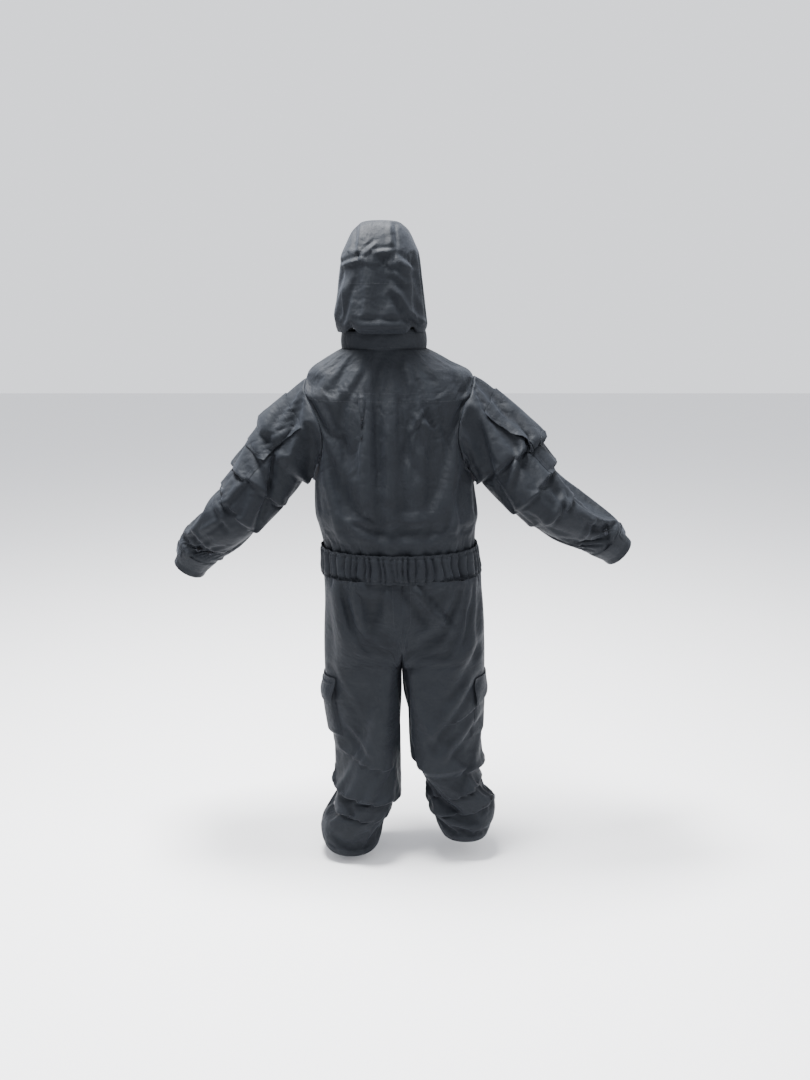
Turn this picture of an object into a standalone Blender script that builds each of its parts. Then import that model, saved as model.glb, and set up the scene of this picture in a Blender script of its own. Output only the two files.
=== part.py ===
"""Hooded one-piece chemical protective suit, as worn: outer cloth panels over a charcoal liner.

Units are metres. +Z is up, +Y is the way the wearer faces and +X is the wearer's right.
Heights are above the floor that the wearer stands on. The origin is the centre of the neck
opening, where the suit hangs on the wearer's shoulders.
"""

import math

import bmesh
import bpy
from mathutils import Matrix, Vector

# ---------------------------------------------------------------- driving sizes
NECK_HEIGHT = 1.455
LEAN = 0.073  # sideways lean of the upper body, metres per metre of height
LEAN_FROM = 0.70

CLOTH = 0.003  # outer cloth, seam allowances and quilting included
LINER = 0.002
LINER_INSET = 0.0075  # outer cloth plus the air between it and the liner
SEAM = 0.0024  # gap between two panels that are sewn together

# The trunk: height, half width, depth behind the side seam.
TRUNK = (
    (0.560, 0.222, 0.140),
    (0.700, 0.222, 0.155),
    (0.835, 0.212, 0.142),
    (0.915, 0.201, 0.136),
    (0.975, 0.212, 0.150),
    (1.045, 0.220, 0.158),
    (1.210, 0.208, 0.150),
    (1.340, 0.224, 0.132),
    (1.372, 0.210, 0.122),
    (1.400, 0.181, 0.112),
    (1.425, 0.147, 0.102),
    (1.455, 0.108, 0.092),
)
SQUARENESS = 0.8  # the trunk's section: 1 is an ellipse, less is squarer
SLOPE_FROM = 1.36  # above this the shoulders slope, so a layer inside is set further in
FRONT_DEPTH = 0.150  # depth in front of the side seam at FRONT_FROM
FRONT_FROM = 0.62
FRONT_SLOPE = 0.052  # the front closure is one straight line, leaning back

WAIST_LOW, WAIST_HIGH = 0.835, 0.915
YOKE_HEIGHT = 1.352
COLLAR_HIGH = 1.497

HIP_AXIS_HEIGHT = 0.88
SEAT_RADIUS = 0.300  # the seat ends on this arc about the hip axis, so that the legs swing clear
LEG_CLEAR = 0.006

ARMHOLE_HEIGHT = 1.2225
ARMHOLE_HALF_HEIGHT = 0.1225
ARMHOLE_HALF_DEPTH = 0.092

SHOULDER_OUT = 0.262  # shoulder centre from the trunk's centre line
SHOULDER_HEIGHT = 1.235
SHOULDER_BALL = 0.098  # the sleeve head, round about the fore-and-aft axis
ELBOW = {"left": Vector((-0.442, -0.015, 1.040)), "right": Vector((0.375, -0.015, 1.045))}
CUFF_END = {"left": Vector((-0.600, 0.035, 0.835)), "right": Vector((0.598, 0.035, 0.880))}
ELBOW_BALL = 0.084

KNEE = {"left": Vector((-0.113, 0.0, 0.392)), "right": Vector((0.128, 0.0, 0.392))}
HEM = {"left": Vector((-0.146, -0.030, 0.052)), "right": Vector((0.174, -0.020, 0.060))}
KNEE_BALL = 0.088

ZIP_TOP, ZIP_BOTTOM = 1.488, 0.665
TEETH_HALF = 0.0025
TAPE_WIDTH = 0.0095
TAPE_GAP = 0.0008
OPENING_HALF = TEETH_HALF + TAPE_WIDTH + 2 * TAPE_GAP  # half the gap between the two fronts

HOOD_LOW = 1.502
HOOD_CENTRE = Vector((-0.062, -0.004, 0.0))
# The hood: height, half width, depth behind and depth in front of its centre.
HOOD = (
    (1.502, 0.105, 0.094, 0.102),
    (1.528, 0.117, 0.118, 0.110),
    (1.565, 0.117, 0.127, 0.116),
    (1.620, 0.110, 0.127, 0.116),
    (1.680, 0.096, 0.118, 0.110),
    (1.730, 0.076, 0.096, 0.092),
    (1.765, 0.046, 0.060, 0.060),
    (1.776, 0.022, 0.030, 0.030),
)
HOOD_GUSSET_HALF = 0.052
FACE_HALF, FACE_SPRING = 0.078, 1.625  # a round-topped opening: half width, height where its arch starts

SIDES = ("left", "right")
OUTWARD = {"left": -1.0, "right": 1.0}

OUTER_COLOUR = (0.055, 0.062, 0.075)
LINER_COLOUR = (0.028, 0.028, 0.030)
TRIM_COLOUR = (0.030, 0.032, 0.036)
METAL_COLOUR = (0.16, 0.16, 0.17)


# ---------------------------------------------------------------- scene helpers
def clear_scene():
    for item in list(bpy.data.objects):
        bpy.data.objects.remove(item)


def make_collection(name):
    collection = bpy.data.collections.new(name)
    bpy.context.scene.collection.children.link(collection)
    return collection


def make_material(name, colour, roughness, metallic=0.0):
    material = bpy.data.materials.new(name)
    material.use_nodes = True
    shader = material.node_tree.nodes["Principled BSDF"]
    shader.inputs["Base Color"].default_value = (*colour, 1.0)
    shader.inputs["Roughness"].default_value = roughness
    shader.inputs["Metallic"].default_value = metallic
    return material


clear_scene()
PARTS = make_collection("chemical_protective_suit")
CUTTERS = make_collection("cutters")
CLOTH_MATERIAL = make_material("outer_cloth", OUTER_COLOUR, 0.85)
LINER_MATERIAL = make_material("charcoal_liner", LINER_COLOUR, 0.95)
TRIM_MATERIAL = make_material("trim", TRIM_COLOUR, 0.8)
METAL_MATERIAL = make_material("zip_metal", METAL_COLOUR, 0.35, 1.0)


class Body:
    """An empty on the joint's axis that carries the pieces moving with it."""

    def __init__(self, name, origin, parent=None):
        self.origin = Vector(origin)
        self.empty = bpy.data.objects.new(f"body_{name}", None)
        PARTS.objects.link(self.empty)
        if parent is None:
            self.empty.location = self.origin - NECK
        else:
            self.empty.parent = parent.empty
            self.empty.location = self.origin - parent.origin

    def add(self, name, mesh, material):
        """A node whose mesh is in the wearer's frame, moved so that its origin is on the joint."""
        mesh.transform(Matrix.Translation(-self.origin))
        mesh.shade_smooth()
        mesh.set_sharp_from_angle(angle=math.radians(35))
        mesh.materials.append(material)
        node = bpy.data.objects.new(name, mesh)
        node.parent = self.empty
        PARTS.objects.link(node)
        return node


def mesh_from(name, points, faces):
    mesh = bpy.data.meshes.new(name)
    mesh.from_pydata([tuple(p) for p in points], [], faces)
    return mesh


def solid_from(name, points, faces):
    """A closed solid whose faces all look outwards, whichever way their points are listed."""
    mesh = mesh_from(name, points, faces)
    shape = bmesh.new()
    shape.from_mesh(mesh)
    bmesh.ops.recalc_face_normals(shape, faces=shape.faces)
    shape.to_mesh(mesh)
    shape.free()
    return mesh


def solidify(node, thickness):
    """Thickens an open surface towards its inside."""
    modifier = node.modifiers.new("cloth", "SOLIDIFY")
    modifier.thickness = thickness
    modifier.offset = -1.0
    modifier.use_even_offset = True


def cut(node, cutter, operation="DIFFERENCE"):
    modifier = node.modifiers.new(cutter.name, "BOOLEAN")
    modifier.operation = operation
    modifier.object = cutter


def make_cutter(name, mesh):
    cutter = bpy.data.objects.new(name, mesh)
    cutter.location = -NECK
    cutter.hide_render = True
    cutter.display_type = "WIRE"
    CUTTERS.objects.link(cutter)
    return cutter


def grid_mesh(name, rows, closed=False, capped=False):
    """A surface through rows of points. Rows run up and points run anticlockwise, so it faces out."""
    points = [point for row in rows for point in row]
    count = len(rows[0])
    faces = []
    for row in range(len(rows) - 1):
        for column in range(count if closed else count - 1):
            after = (column + 1) % count
            low, high = row * count, (row + 1) * count
            faces.append((low + column, low + after, high + after, high + column))
    if capped:
        top = (len(rows) - 1) * count
        points.append(sum(rows[-1], Vector()) / count)
        faces += [(top + i, top + (i + 1) % count, len(points) - 1) for i in range(count)]
    return mesh_from(name, points, faces)


def box_mesh(name, size, frame):
    """A box of that size, placed by a 4x4 frame in the wearer's frame."""
    shape = bmesh.new()
    bmesh.ops.create_cube(shape, size=1.0)
    bmesh.ops.scale(shape, vec=size, verts=shape.verts)
    bmesh.ops.transform(shape, matrix=frame, verts=shape.verts)
    mesh = bpy.data.meshes.new(name)
    shape.to_mesh(mesh)
    shape.free()
    return mesh


def cylinder_mesh(name, radius_a, radius_b, length, frame, segments=32):
    """An elliptical cylinder whose length runs along the frame's Z."""
    shape = bmesh.new()
    bmesh.ops.create_cone(
        shape, cap_ends=True, segments=segments, radius1=1.0, radius2=1.0, depth=length
    )
    bmesh.ops.scale(shape, vec=(radius_a, radius_b, 1.0), verts=shape.verts)
    bmesh.ops.transform(shape, matrix=frame, verts=shape.verts)
    mesh = bpy.data.meshes.new(name)
    shape.to_mesh(mesh)
    shape.free()
    return mesh


def frame_of(origin, y_axis, z_axis):
    """The placing matrix of a piece from two of its axes, which are at right angles."""
    turn = Matrix((y_axis.cross(z_axis), y_axis, z_axis)).transposed()
    return Matrix.Translation(origin) @ turn.to_4x4()


def round_edges(node, width, segments=2):
    modifier = node.modifiers.new("rounded", "BEVEL")
    modifier.width = width
    modifier.segments = segments
    modifier.limit_method = "ANGLE"


# ---------------------------------------------------------------- shape of the trunk
def between(table, height):
    """The row of a table at a height, its other values taken along straight lines."""
    height = min(max(height, table[0][0]), table[-1][0])
    for low, high in zip(table, table[1:]):
        if height <= high[0]:
            share = (height - low[0]) / (high[0] - low[0])
            return [a + (b - a) * share for a, b in zip(low[1:], high[1:])]
    return list(table[-1][1:])


def centre_x(height):
    return -LEAN * (height - LEAN_FROM)


def front_y(height):
    return FRONT_DEPTH - FRONT_SLOPE * (height - FRONT_FROM)


NECK = Vector((centre_x(NECK_HEIGHT), 0.0, NECK_HEIGHT))


def squared(value):
    return math.copysign(abs(value) ** SQUARENESS, value)


def trunk_point(height, angle, inset=0.0):
    """A point of the trunk's surface. Angle 0 is the right side seam and 90 degrees the front."""
    half_width, back = between(TRUNK, height)
    if height > SLOPE_FROM:
        inset *= 2.0
    depth = front_y(height) if math.sin(angle) > 0 else back
    return Vector((
        centre_x(height) + (half_width - inset) * squared(math.cos(angle)),
        (depth - inset) * squared(math.sin(angle)),
        height,
    ))


def heights(low, high):
    """The ends of a panel and the trunk's own sections between them."""
    inner = [row[0] for row in TRUNK if low + 0.01 < row[0] < high - 0.01]
    return [low, *inner, high]


def trunk_sheet(name, low, high, start, end, columns, inset=0.0):
    """A panel of the trunk between two heights. start and end are angles, or functions of height."""
    rows = []
    for height in heights(low, high):
        first = start(height) if callable(start) else start
        last = end(height) if callable(end) else end
        step = (last - first) / columns
        rows.append([trunk_point(height, first + step * i, inset) for i in range(columns + 1)])
    return grid_mesh(name, rows)


def seam_angle(height):
    """How far a panel's edge is from the side seam, so that the gap keeps its width."""
    return math.asin((0.5 * SEAM / between(TRUNK, height)[1]) ** (1 / SQUARENESS))


def opening_angle(height, extra=0.0):
    """How far the edge of a front is from straight ahead, so that the opening keeps its width."""
    return math.asin(((OPENING_HALF + extra) / between(TRUNK, height)[0]) ** (1 / SQUARENESS))


# ---------------------------------------------------------------- limbs
class Limb:
    """A straight sleeve or leg segment with its own axes: along, across and fore-and-aft."""

    def __init__(self, start, end):
        self.start = Vector(start)
        self.along = (Vector(end) - self.start).normalized()
        self.length = (Vector(end) - self.start).length
        forward = Vector((0.0, 1.0, 0.0))
        self.fore = (forward - forward.dot(self.along) * self.along).normalized()
        self.across = self.fore.cross(self.along)

    def point(self, distance, across=0.0, fore=0.0):
        return self.start + self.along * distance + self.across * across + self.fore * fore

    def tube(self, name, rings, columns, inset=0.0):
        """rings: distance along, half width across, half width fore-and-aft, slant.

        The slant moves the ring's front edge along the limb, and its back edge the other way.
        """
        rows = []
        for distance, across, fore, slant in rings:
            row = []
            for i in range(columns):
                angle = 2 * math.pi * i / columns
                sine = math.sin(angle)
                row.append(self.point(
                    distance + slant * sine, (across - inset) * math.cos(angle), (fore - inset) * sine
                ))
            rows.append(row)
        return grid_mesh(name, rows, closed=True)


def limb_patch(name, limb, low, high, half_span, radii, depth, side=1.0):
    """A block lying round a limb: between two distances, over an arc, from one skin to another.

    radii are the limb's half widths across and fore-and-aft, depth the inner and outer offsets
    from them. side is the way that it faces, along the limb's across axis or against it.
    """
    steps = 8
    rings = []
    for distance in (low, high):
        ring = []
        for offset, order in ((depth[0], range(steps + 1)), (depth[1], reversed(range(steps + 1)))):
            for i in order:
                angle = half_span * (2 * i / steps - 1)
                ring.append(limb.point(
                    distance,
                    side * (radii[0] + offset) * math.cos(angle), (radii[1] + offset) * math.sin(angle),
                ))
        rings.append(ring)
    count = len(rings[0])
    faces = [tuple(range(count)), tuple(range(2 * count - 1, count - 1, -1))]
    faces += [(i, (i + 1) % count, (i + 1) % count + count, i + count) for i in range(count)]
    return solid_from(name, rings[0] + rings[1], faces)


def ball_ring(distance, across, fore, radius):
    """The ring of a sleeve's round head, at a distance from the joint's centre."""
    share = math.sqrt(1 - (distance / radius) ** 2)
    return (distance, across * share, fore * share, 0.0)


# ---------------------------------------------------------------- cutters
def make_armhole_cutters():
    cutters = {}
    for side in SIDES:
        reach = 0.30
        centre = Vector((
            centre_x(ARMHOLE_HEIGHT) + OUTWARD[side] * (0.06 + reach / 2), -0.004, ARMHOLE_HEIGHT
        ))
        frame = frame_of(centre, Vector((0, 1, 0)), Vector((-1, 0, 0)))
        mesh = cylinder_mesh(
            f"{side}_armhole", ARMHOLE_HALF_HEIGHT, ARMHOLE_HALF_DEPTH, reach, frame, 36
        )
        cutters[side] = make_cutter(f"{side}_armhole", mesh)
    return cutters


def make_hip_cutter(name, radius):
    """A cylinder on the hip axis, across the whole suit."""
    centre = Vector((0.0, 0.0, HIP_AXIS_HEIGHT))
    frame = frame_of(centre, Vector((0, 1, 0)), Vector((-1, 0, 0)))
    return make_cutter(name, cylinder_mesh(name, radius, radius, 1.0, frame, 56))


def make_below_cutter():
    """All that is below the seat's arc: a block with the hip cylinder taken out of it."""
    block = make_cutter(
        "below_seat",
        box_mesh("below_seat", (1.2, 0.8, 0.6), Matrix.Translation((0, 0, HIP_AXIS_HEIGHT - 0.42))),
    )
    cut(block, make_hip_cutter("seat_arc", SEAT_RADIUS))
    return block


# ---------------------------------------------------------------- trunk
def build_trunk(torso, armholes, below):
    pi = math.pi

    back = torso.add("back_panel", trunk_sheet(
        "back_panel", WAIST_HIGH + SEAM, YOKE_HEIGHT - SEAM / 2,
        lambda h: pi + seam_angle(h), lambda h: 2 * pi - seam_angle(h), 14,
    ), CLOTH_MATERIAL)
    yoke = torso.add("back_yoke", trunk_sheet(
        "back_yoke", YOKE_HEIGHT + SEAM / 2, NECK_HEIGHT,
        lambda h: pi + seam_angle(h), lambda h: 2 * pi - seam_angle(h), 14,
    ), CLOTH_MATERIAL)
    fronts = {
        "right": torso.add("right_front_panel", trunk_sheet(
            "right_front_panel", 0.57, NECK_HEIGHT,
            seam_angle, lambda h: pi / 2 - opening_angle(h), 8,
        ), CLOTH_MATERIAL),
        "left": torso.add("left_front_panel", trunk_sheet(
            "left_front_panel", 0.57, NECK_HEIGHT,
            lambda h: pi / 2 + opening_angle(h), lambda h: pi - seam_angle(h), 8,
        ), CLOTH_MATERIAL),
    }
    centre_gap = math.asin((0.5 * SEAM / TRUNK[0][1]) ** (1 / SQUARENESS))
    seats = [
        torso.add("left_seat_panel", trunk_sheet(
            "left_seat_panel", 0.57, WAIST_LOW - SEAM,
            lambda h: pi + seam_angle(h), 1.5 * pi - centre_gap, 8,
        ), CLOTH_MATERIAL),
        torso.add("right_seat_panel", trunk_sheet(
            "right_seat_panel", 0.57, WAIST_LOW - SEAM,
            1.5 * pi + centre_gap, lambda h: 2 * pi - seam_angle(h), 8,
        ), CLOTH_MATERIAL),
    ]
    liner = torso.add("torso_liner", trunk_sheet(
        "torso_liner", 0.57, NECK_HEIGHT - 0.006,
        lambda h: pi / 2 + opening_angle(h, 0.004), lambda h: 2.5 * pi - opening_angle(h, 0.004),
        20, LINER_INSET,
    ), LINER_MATERIAL)

    for node in (back, yoke, *fronts.values(), *seats):
        solidify(node, CLOTH)
    solidify(liner, LINER)
    for node in (back, yoke, liner):
        for side in SIDES:
            cut(node, armholes[side])
    for side in SIDES:
        cut(fronts[side], armholes[side])
    for node in (*fronts.values(), *seats, liner):
        cut(node, below)


def build_waist(torso):
    """The gathered casing across the back, with the elastic that it holds."""
    pi = math.pi
    casing = torso.add("waist_casing", trunk_sheet(
        "waist_casing", WAIST_LOW, WAIST_HIGH,
        lambda h: pi + 0.02, lambda h: 2 * pi - 0.02, 18, -0.0055,
    ), CLOTH_MATERIAL)
    solidify(casing, CLOTH)
    elastic = torso.add("waist_elastic", trunk_sheet(
        "waist_elastic", WAIST_LOW + 0.015, WAIST_HIGH - 0.015,
        lambda h: pi + 0.05, lambda h: 2 * pi - 0.05, 18, -0.0012,
    ), TRIM_MATERIAL)
    solidify(elastic, 0.0018)


def build_gusset(torso):
    """The crotch strip, on the seat's arc between the two leg openings."""
    half, radius = 0.028, SEAT_RADIUS - 0.0045
    reach = math.radians(26)
    rows = []
    for x in (half, -half):
        rows.append([
            Vector((
                centre_x(0.58) + x,
                radius * math.sin(-reach + 2 * reach * i / 10),
                HIP_AXIS_HEIGHT - radius * math.cos(-reach + 2 * reach * i / 10),
            ))
            for i in range(11)
        ])
    gusset = torso.add("crotch_gusset", grid_mesh("crotch_gusset", rows), CLOTH_MATERIAL)
    solidify(gusset, CLOTH)


def build_collar(torso):
    """A stand collar that meets at the front, with a hanger loop inside the back of the neck."""
    def collar_point(height, angle, inset):
        rise = (height - NECK_HEIGHT) / (COLLAR_HIGH - NECK_HEIGHT)
        half_width = 0.110 - 0.004 * rise - inset
        depth = front_y(height) if math.sin(angle) > 0 else 0.090 + 0.003 * rise
        return Vector((
            centre_x(height) + half_width * math.cos(angle), (depth - inset) * math.sin(angle), height
        ))

    edge = math.asin(OPENING_HALF / 0.106)
    rows = [
        [
            collar_point(height, math.pi / 2 + edge + (2 * math.pi - 2 * edge) * i / 22, 0.0)
            for i in range(23)
        ]
        for height in (NECK_HEIGHT + SEAM, NECK_HEIGHT + 0.02, COLLAR_HIGH)
    ]
    collar = torso.add("collar", grid_mesh("collar", rows), CLOTH_MATERIAL)
    solidify(collar, 0.004)

    loop_x, loop_y = centre_x(1.46), -0.0815
    rows = []
    for width in (-0.005, 0.005):
        rows.append([
            Vector((
                loop_x - 0.032 * math.cos(math.pi * i / 10),
                loop_y + 0.014 * math.sin(math.pi * i / 10),
                1.462 + width,
            ))
            for i in range(11)
        ])
    loop = torso.add("hanger_loop", grid_mesh("hanger_loop", rows), TRIM_MATERIAL)
    solidify(loop, 0.0015)


# ---------------------------------------------------------------- front closure
ZIP_UP = Vector((-LEAN, -FRONT_SLOPE, 1.0)).normalized()
ZIP_RIGHT = (Vector((1.0, 0.0, 0.0)) - ZIP_UP.x * ZIP_UP).normalized()
ZIP_OUT = ZIP_UP.cross(ZIP_RIGHT)


def on_zip(height, right=0.0, out=0.0):
    """A point of the front closure, which is a flat strip up the middle of the front."""
    base = Vector((centre_x(height), front_y(height), height))
    return base + ZIP_RIGHT * right + ZIP_OUT * out


def zip_strip(body, name, low, high, right, out, width, thickness, material, rounded=0.0):
    """A flat strip along the closure. right and out place its middle."""
    middle = on_zip((low + high) / 2, right, out)
    length = (on_zip(high) - on_zip(low)).length
    mesh = box_mesh(
        name, (width, thickness, length), frame_of(middle, ZIP_OUT, ZIP_UP)
    )
    node = body.add(name, mesh, material)
    if rounded:
        round_edges(node, rounded)
    return node


def build_closure(torso):
    tape_middle = TEETH_HALF + TAPE_GAP + TAPE_WIDTH / 2
    for side in SIDES:
        zip_strip(
            torso, f"{side}_zip_tape", ZIP_BOTTOM - 0.03, ZIP_TOP + 0.005,
            OUTWARD[side] * tape_middle, -0.002, TAPE_WIDTH, 0.0015, TRIM_MATERIAL,
        )
    zip_strip(torso, "zip_teeth", ZIP_BOTTOM, ZIP_TOP, 0.0, -0.0012, 2 * TEETH_HALF, 0.003, METAL_MATERIAL)

    slider_height = ZIP_TOP - 0.012
    slider = Body("zip_slider", on_zip(slider_height), torso)
    zip_strip(
        slider, "zip_slider", slider_height - 0.007, slider_height + 0.007, 0.0, 0.0026,
        0.010, 0.003, METAL_MATERIAL, 0.001,
    )
    zip_strip(
        slider, "zip_pull", slider_height - 0.034, slider_height - 0.0005, 0.0, 0.0053,
        0.006, 0.0012, METAL_MATERIAL, 0.0004,
    )

    flap_low, flap_high, flap_width, flap_out = 0.672, 1.450, 0.074, 0.0088
    hinge_right = -flap_width / 2
    flap = Body("storm_flap", on_zip((flap_low + flap_high) / 2, hinge_right, flap_out), torso)
    zip_strip(
        flap, "storm_flap", flap_low, flap_high, 0.0, flap_out, flap_width, 0.003, CLOTH_MATERIAL, 0.0009
    )
    zip_strip(
        flap, "storm_flap_hook_tape", flap_low + 0.02, flap_high - 0.02, flap_width / 2 - 0.013,
        flap_out - 0.0028, 0.018, 0.0018, TRIM_MATERIAL,
    )
    zip_strip(
        torso, "storm_flap_loop_tape", flap_low + 0.02, flap_high - 0.06, flap_width / 2 - 0.013,
        0.0035, 0.018, 0.0018, TRIM_MATERIAL,
    )

    tab_low, tab_high, tab_width, tab_out = 1.459, 1.491, 0.070, 0.0088
    tab = Body("throat_tab", on_zip((tab_low + tab_high) / 2, -tab_width / 2, tab_out), torso)
    zip_strip(
        tab, "throat_tab", tab_low, tab_high, 0.0, tab_out, tab_width, 0.003, CLOTH_MATERIAL, 0.0009
    )


# ---------------------------------------------------------------- hood
def hood_dome(name, inset=0.0, columns=22):
    rows = []
    for height, half_width, back, front in HOOD:
        row = []
        for i in range(columns):
            angle = 2 * math.pi * i / columns
            depth = front if math.sin(angle) > 0 else back
            row.append(HOOD_CENTRE + Vector((
                (half_width - inset) * math.cos(angle),
                (depth - inset) * math.sin(angle),
                height - inset * (height - HOOD_LOW) / (HOOD[-1][0] - HOOD_LOW),
            )))
        rows.append(row)
    return grid_mesh(name, rows, closed=True, capped=True)


def face_outline(half, spring, low, segments=14):
    """The opening for the face, seen from the front: straight sides under a half circle."""
    outline = [Vector((half, 0, low))]
    outline += [
        Vector((half * math.cos(math.pi * i / segments), 0, spring + half * math.sin(math.pi * i / segments)))
        for i in range(segments + 1)
    ]
    outline.append(Vector((-half, 0, low)))
    return outline


def face_cutter(name, half):
    outline = face_outline(half, FACE_SPRING, HOOD_LOW - 0.05)
    near = [p + HOOD_CENTRE + Vector((0, 0.02, 0)) for p in outline]
    far = [p + HOOD_CENTRE + Vector((0, 0.30, 0)) for p in outline]
    count = len(outline)
    faces = [tuple(range(count)), tuple(reversed(range(count, 2 * count)))]
    faces += [(i, i + count, (i + 1) % count + count, (i + 1) % count) for i in range(count)]
    return make_cutter(name, solid_from(name, near + far, faces))


def hood_block(name, low_x, high_x):
    size = (high_x - low_x, 0.5, 0.6)
    centre = HOOD_CENTRE + Vector(((low_x + high_x) / 2, 0, 1.62))
    return make_cutter(name, box_mesh(name, size, Matrix.Translation(centre)))


def build_hood(hood):
    face = face_cutter("face_opening", FACE_HALF)
    half = HOOD_GUSSET_HALF
    spans = {
        "hood_left_panel": (-0.20, -half - SEAM / 2),
        "hood_centre_panel": (-half + SEAM / 2, half - SEAM / 2),
        "hood_right_panel": (half + SEAM / 2, 0.20),
    }
    for name, (low_x, high_x) in spans.items():
        panel = hood.add(name, hood_dome(name), CLOTH_MATERIAL)
        solidify(panel, CLOTH)
        cut(panel, hood_block(f"{name}_block", low_x, high_x), "INTERSECT")
        cut(panel, face)

    liner = hood.add("hood_liner", hood_dome("hood_liner", LINER_INSET), LINER_MATERIAL)
    solidify(liner, LINER)
    cut(liner, face_cutter("liner_face_opening", FACE_HALF + 0.004))

    rope, clear = 0.005, 0.0058
    points = []
    for p in face_outline(FACE_HALF - clear, FACE_SPRING, HOOD_LOW + 0.006, 18):
        half_width, _, front = between(HOOD, p.z)
        depth = (front - 0.002) * math.sqrt(1 - (p.x / half_width) ** 2)
        points.append(HOOD_CENTRE + Vector((p.x, depth, p.z)))
    curve = bpy.data.curves.new("face_hem", "CURVE")
    curve.dimensions = "3D"
    curve.bevel_depth = rope
    curve.bevel_resolution = 1
    curve.use_fill_caps = True
    spline = curve.splines.new("POLY")
    spline.points.add(len(points) - 1)
    for point, place in zip(spline.points, points):
        point.co = (*(place - hood.origin), 1.0)
    curve.materials.append(CLOTH_MATERIAL)
    hem = bpy.data.objects.new("face_hem", curve)
    hem.parent = hood.empty
    PARTS.objects.link(hem)


# ---------------------------------------------------------------- sleeves
def limb_plate(body, limb, name, distance, across, fore, size, out, material, rounded=0.0012):
    """A flat plate on a limb: size is width, thickness and length, out the way that it faces."""
    frame = frame_of(limb.point(distance, across, fore), out, limb.along)
    node = body.add(name, box_mesh(name, size, frame), material)
    if rounded:
        round_edges(node, rounded)
    return node


def build_sleeve(side, torso):
    shoulder = Vector((
        centre_x(SHOULDER_HEIGHT) + OUTWARD[side] * SHOULDER_OUT, -0.005, SHOULDER_HEIGHT
    ))
    upper = Limb(shoulder, ELBOW[side])
    lower = Limb(ELBOW[side], CUFF_END[side])
    out_sign = 1.0 if upper.across.z > 0 else -1.0

    upper_body = Body(f"{side}_upper_sleeve", shoulder, torso)
    rim = upper.length - 0.0225
    rings = [
        ball_ring(-0.082, SHOULDER_BALL, 0.085, SHOULDER_BALL),
        ball_ring(-0.066, SHOULDER_BALL, 0.085, SHOULDER_BALL),
        ball_ring(-0.045, SHOULDER_BALL, 0.085, SHOULDER_BALL),
        ball_ring(-0.020, SHOULDER_BALL, 0.085, SHOULDER_BALL),
        (0.010, SHOULDER_BALL, 0.085, 0.0),
        (0.080, 0.100, 0.091, 0.0),
        (0.150, 0.103, 0.100, 0.0),
        (rim, 0.105, 0.103, -0.0425),
    ]
    solidify(upper_body.add(
        f"{side}_upper_sleeve", upper.tube("sleeve", rings, 18), CLOTH_MATERIAL), CLOTH)
    solidify(upper_body.add(
        f"{side}_upper_sleeve_liner", upper.tube("liner", rings, 14, LINER_INSET), LINER_MATERIAL), LINER)

    lower_body = Body(f"{side}_lower_sleeve", ELBOW[side], upper_body)
    cuff_start = lower.length - 0.062
    rings = [
        ball_ring(-0.050, ELBOW_BALL, ELBOW_BALL, ELBOW_BALL),
        ball_ring(-0.028, ELBOW_BALL, ELBOW_BALL, ELBOW_BALL),
        (0.0, ELBOW_BALL, ELBOW_BALL, 0.0),
        (0.075, 0.084, 0.082, 0.0),
        (0.140, 0.076, 0.074, 0.0),
        (cuff_start - SEAM, 0.059, 0.058, 0.0),
    ]
    solidify(lower_body.add(
        f"{side}_lower_sleeve", lower.tube("sleeve", rings, 16), CLOTH_MATERIAL), CLOTH)
    solidify(lower_body.add(
        f"{side}_lower_sleeve_liner", lower.tube("liner", rings, 14, LINER_INSET), LINER_MATERIAL), LINER)
    rings = [
        (cuff_start, 0.058, 0.057, 0.0),
        (lower.length - 0.016, 0.046, 0.045, 0.0),
        (lower.length, 0.046, 0.045, 0.0),
    ]
    solidify(lower_body.add(
        f"{side}_cuff", lower.tube("cuff", rings, 16), CLOTH_MATERIAL), 0.004)

    # A patch pocket with a flap, on the outside of the upper arm.
    pocket_from, pocket_to, flap_from, flap_to = 0.034, 0.184, 0.030, 0.092
    skin = (0.105, 0.102)
    upper_body.add(f"{side}_sleeve_pocket", limb_patch(
        "pocket", upper, pocket_from, pocket_to, 0.56, skin, (0.0, 0.009), out_sign), CLOTH_MATERIAL)
    flap_body = Body(
        f"{side}_sleeve_flap", upper.point(flap_from, out_sign * (skin[0] + 0.0115)), upper_body)
    flap_body.add(f"{side}_sleeve_flap", limb_patch(
        "flap", upper, flap_from, flap_to, 0.60, skin, (0.010, 0.013), out_sign), CLOTH_MATERIAL)

    # The wrist tab lies round the outside of the cuff and peels off from its back end.
    lower_sign = 1.0 if lower.across.z > 0 else -1.0
    tab_from, tab_span, tab_skin = cuff_start + 0.003, 0.62, (0.0585, 0.0575)
    hinge = lower.point(
        tab_from + 0.011,
        lower_sign * (tab_skin[0] + 0.003) * math.cos(tab_span),
        -(tab_skin[1] + 0.003) * math.sin(tab_span),
    )
    Body(f"{side}_cuff_tab", hinge, lower_body).add(f"{side}_cuff_tab", limb_patch(
        "tab", lower, tab_from, tab_from + 0.022, tab_span, tab_skin, (0.0012, 0.0040), lower_sign,
    ), TRIM_MATERIAL)


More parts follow.
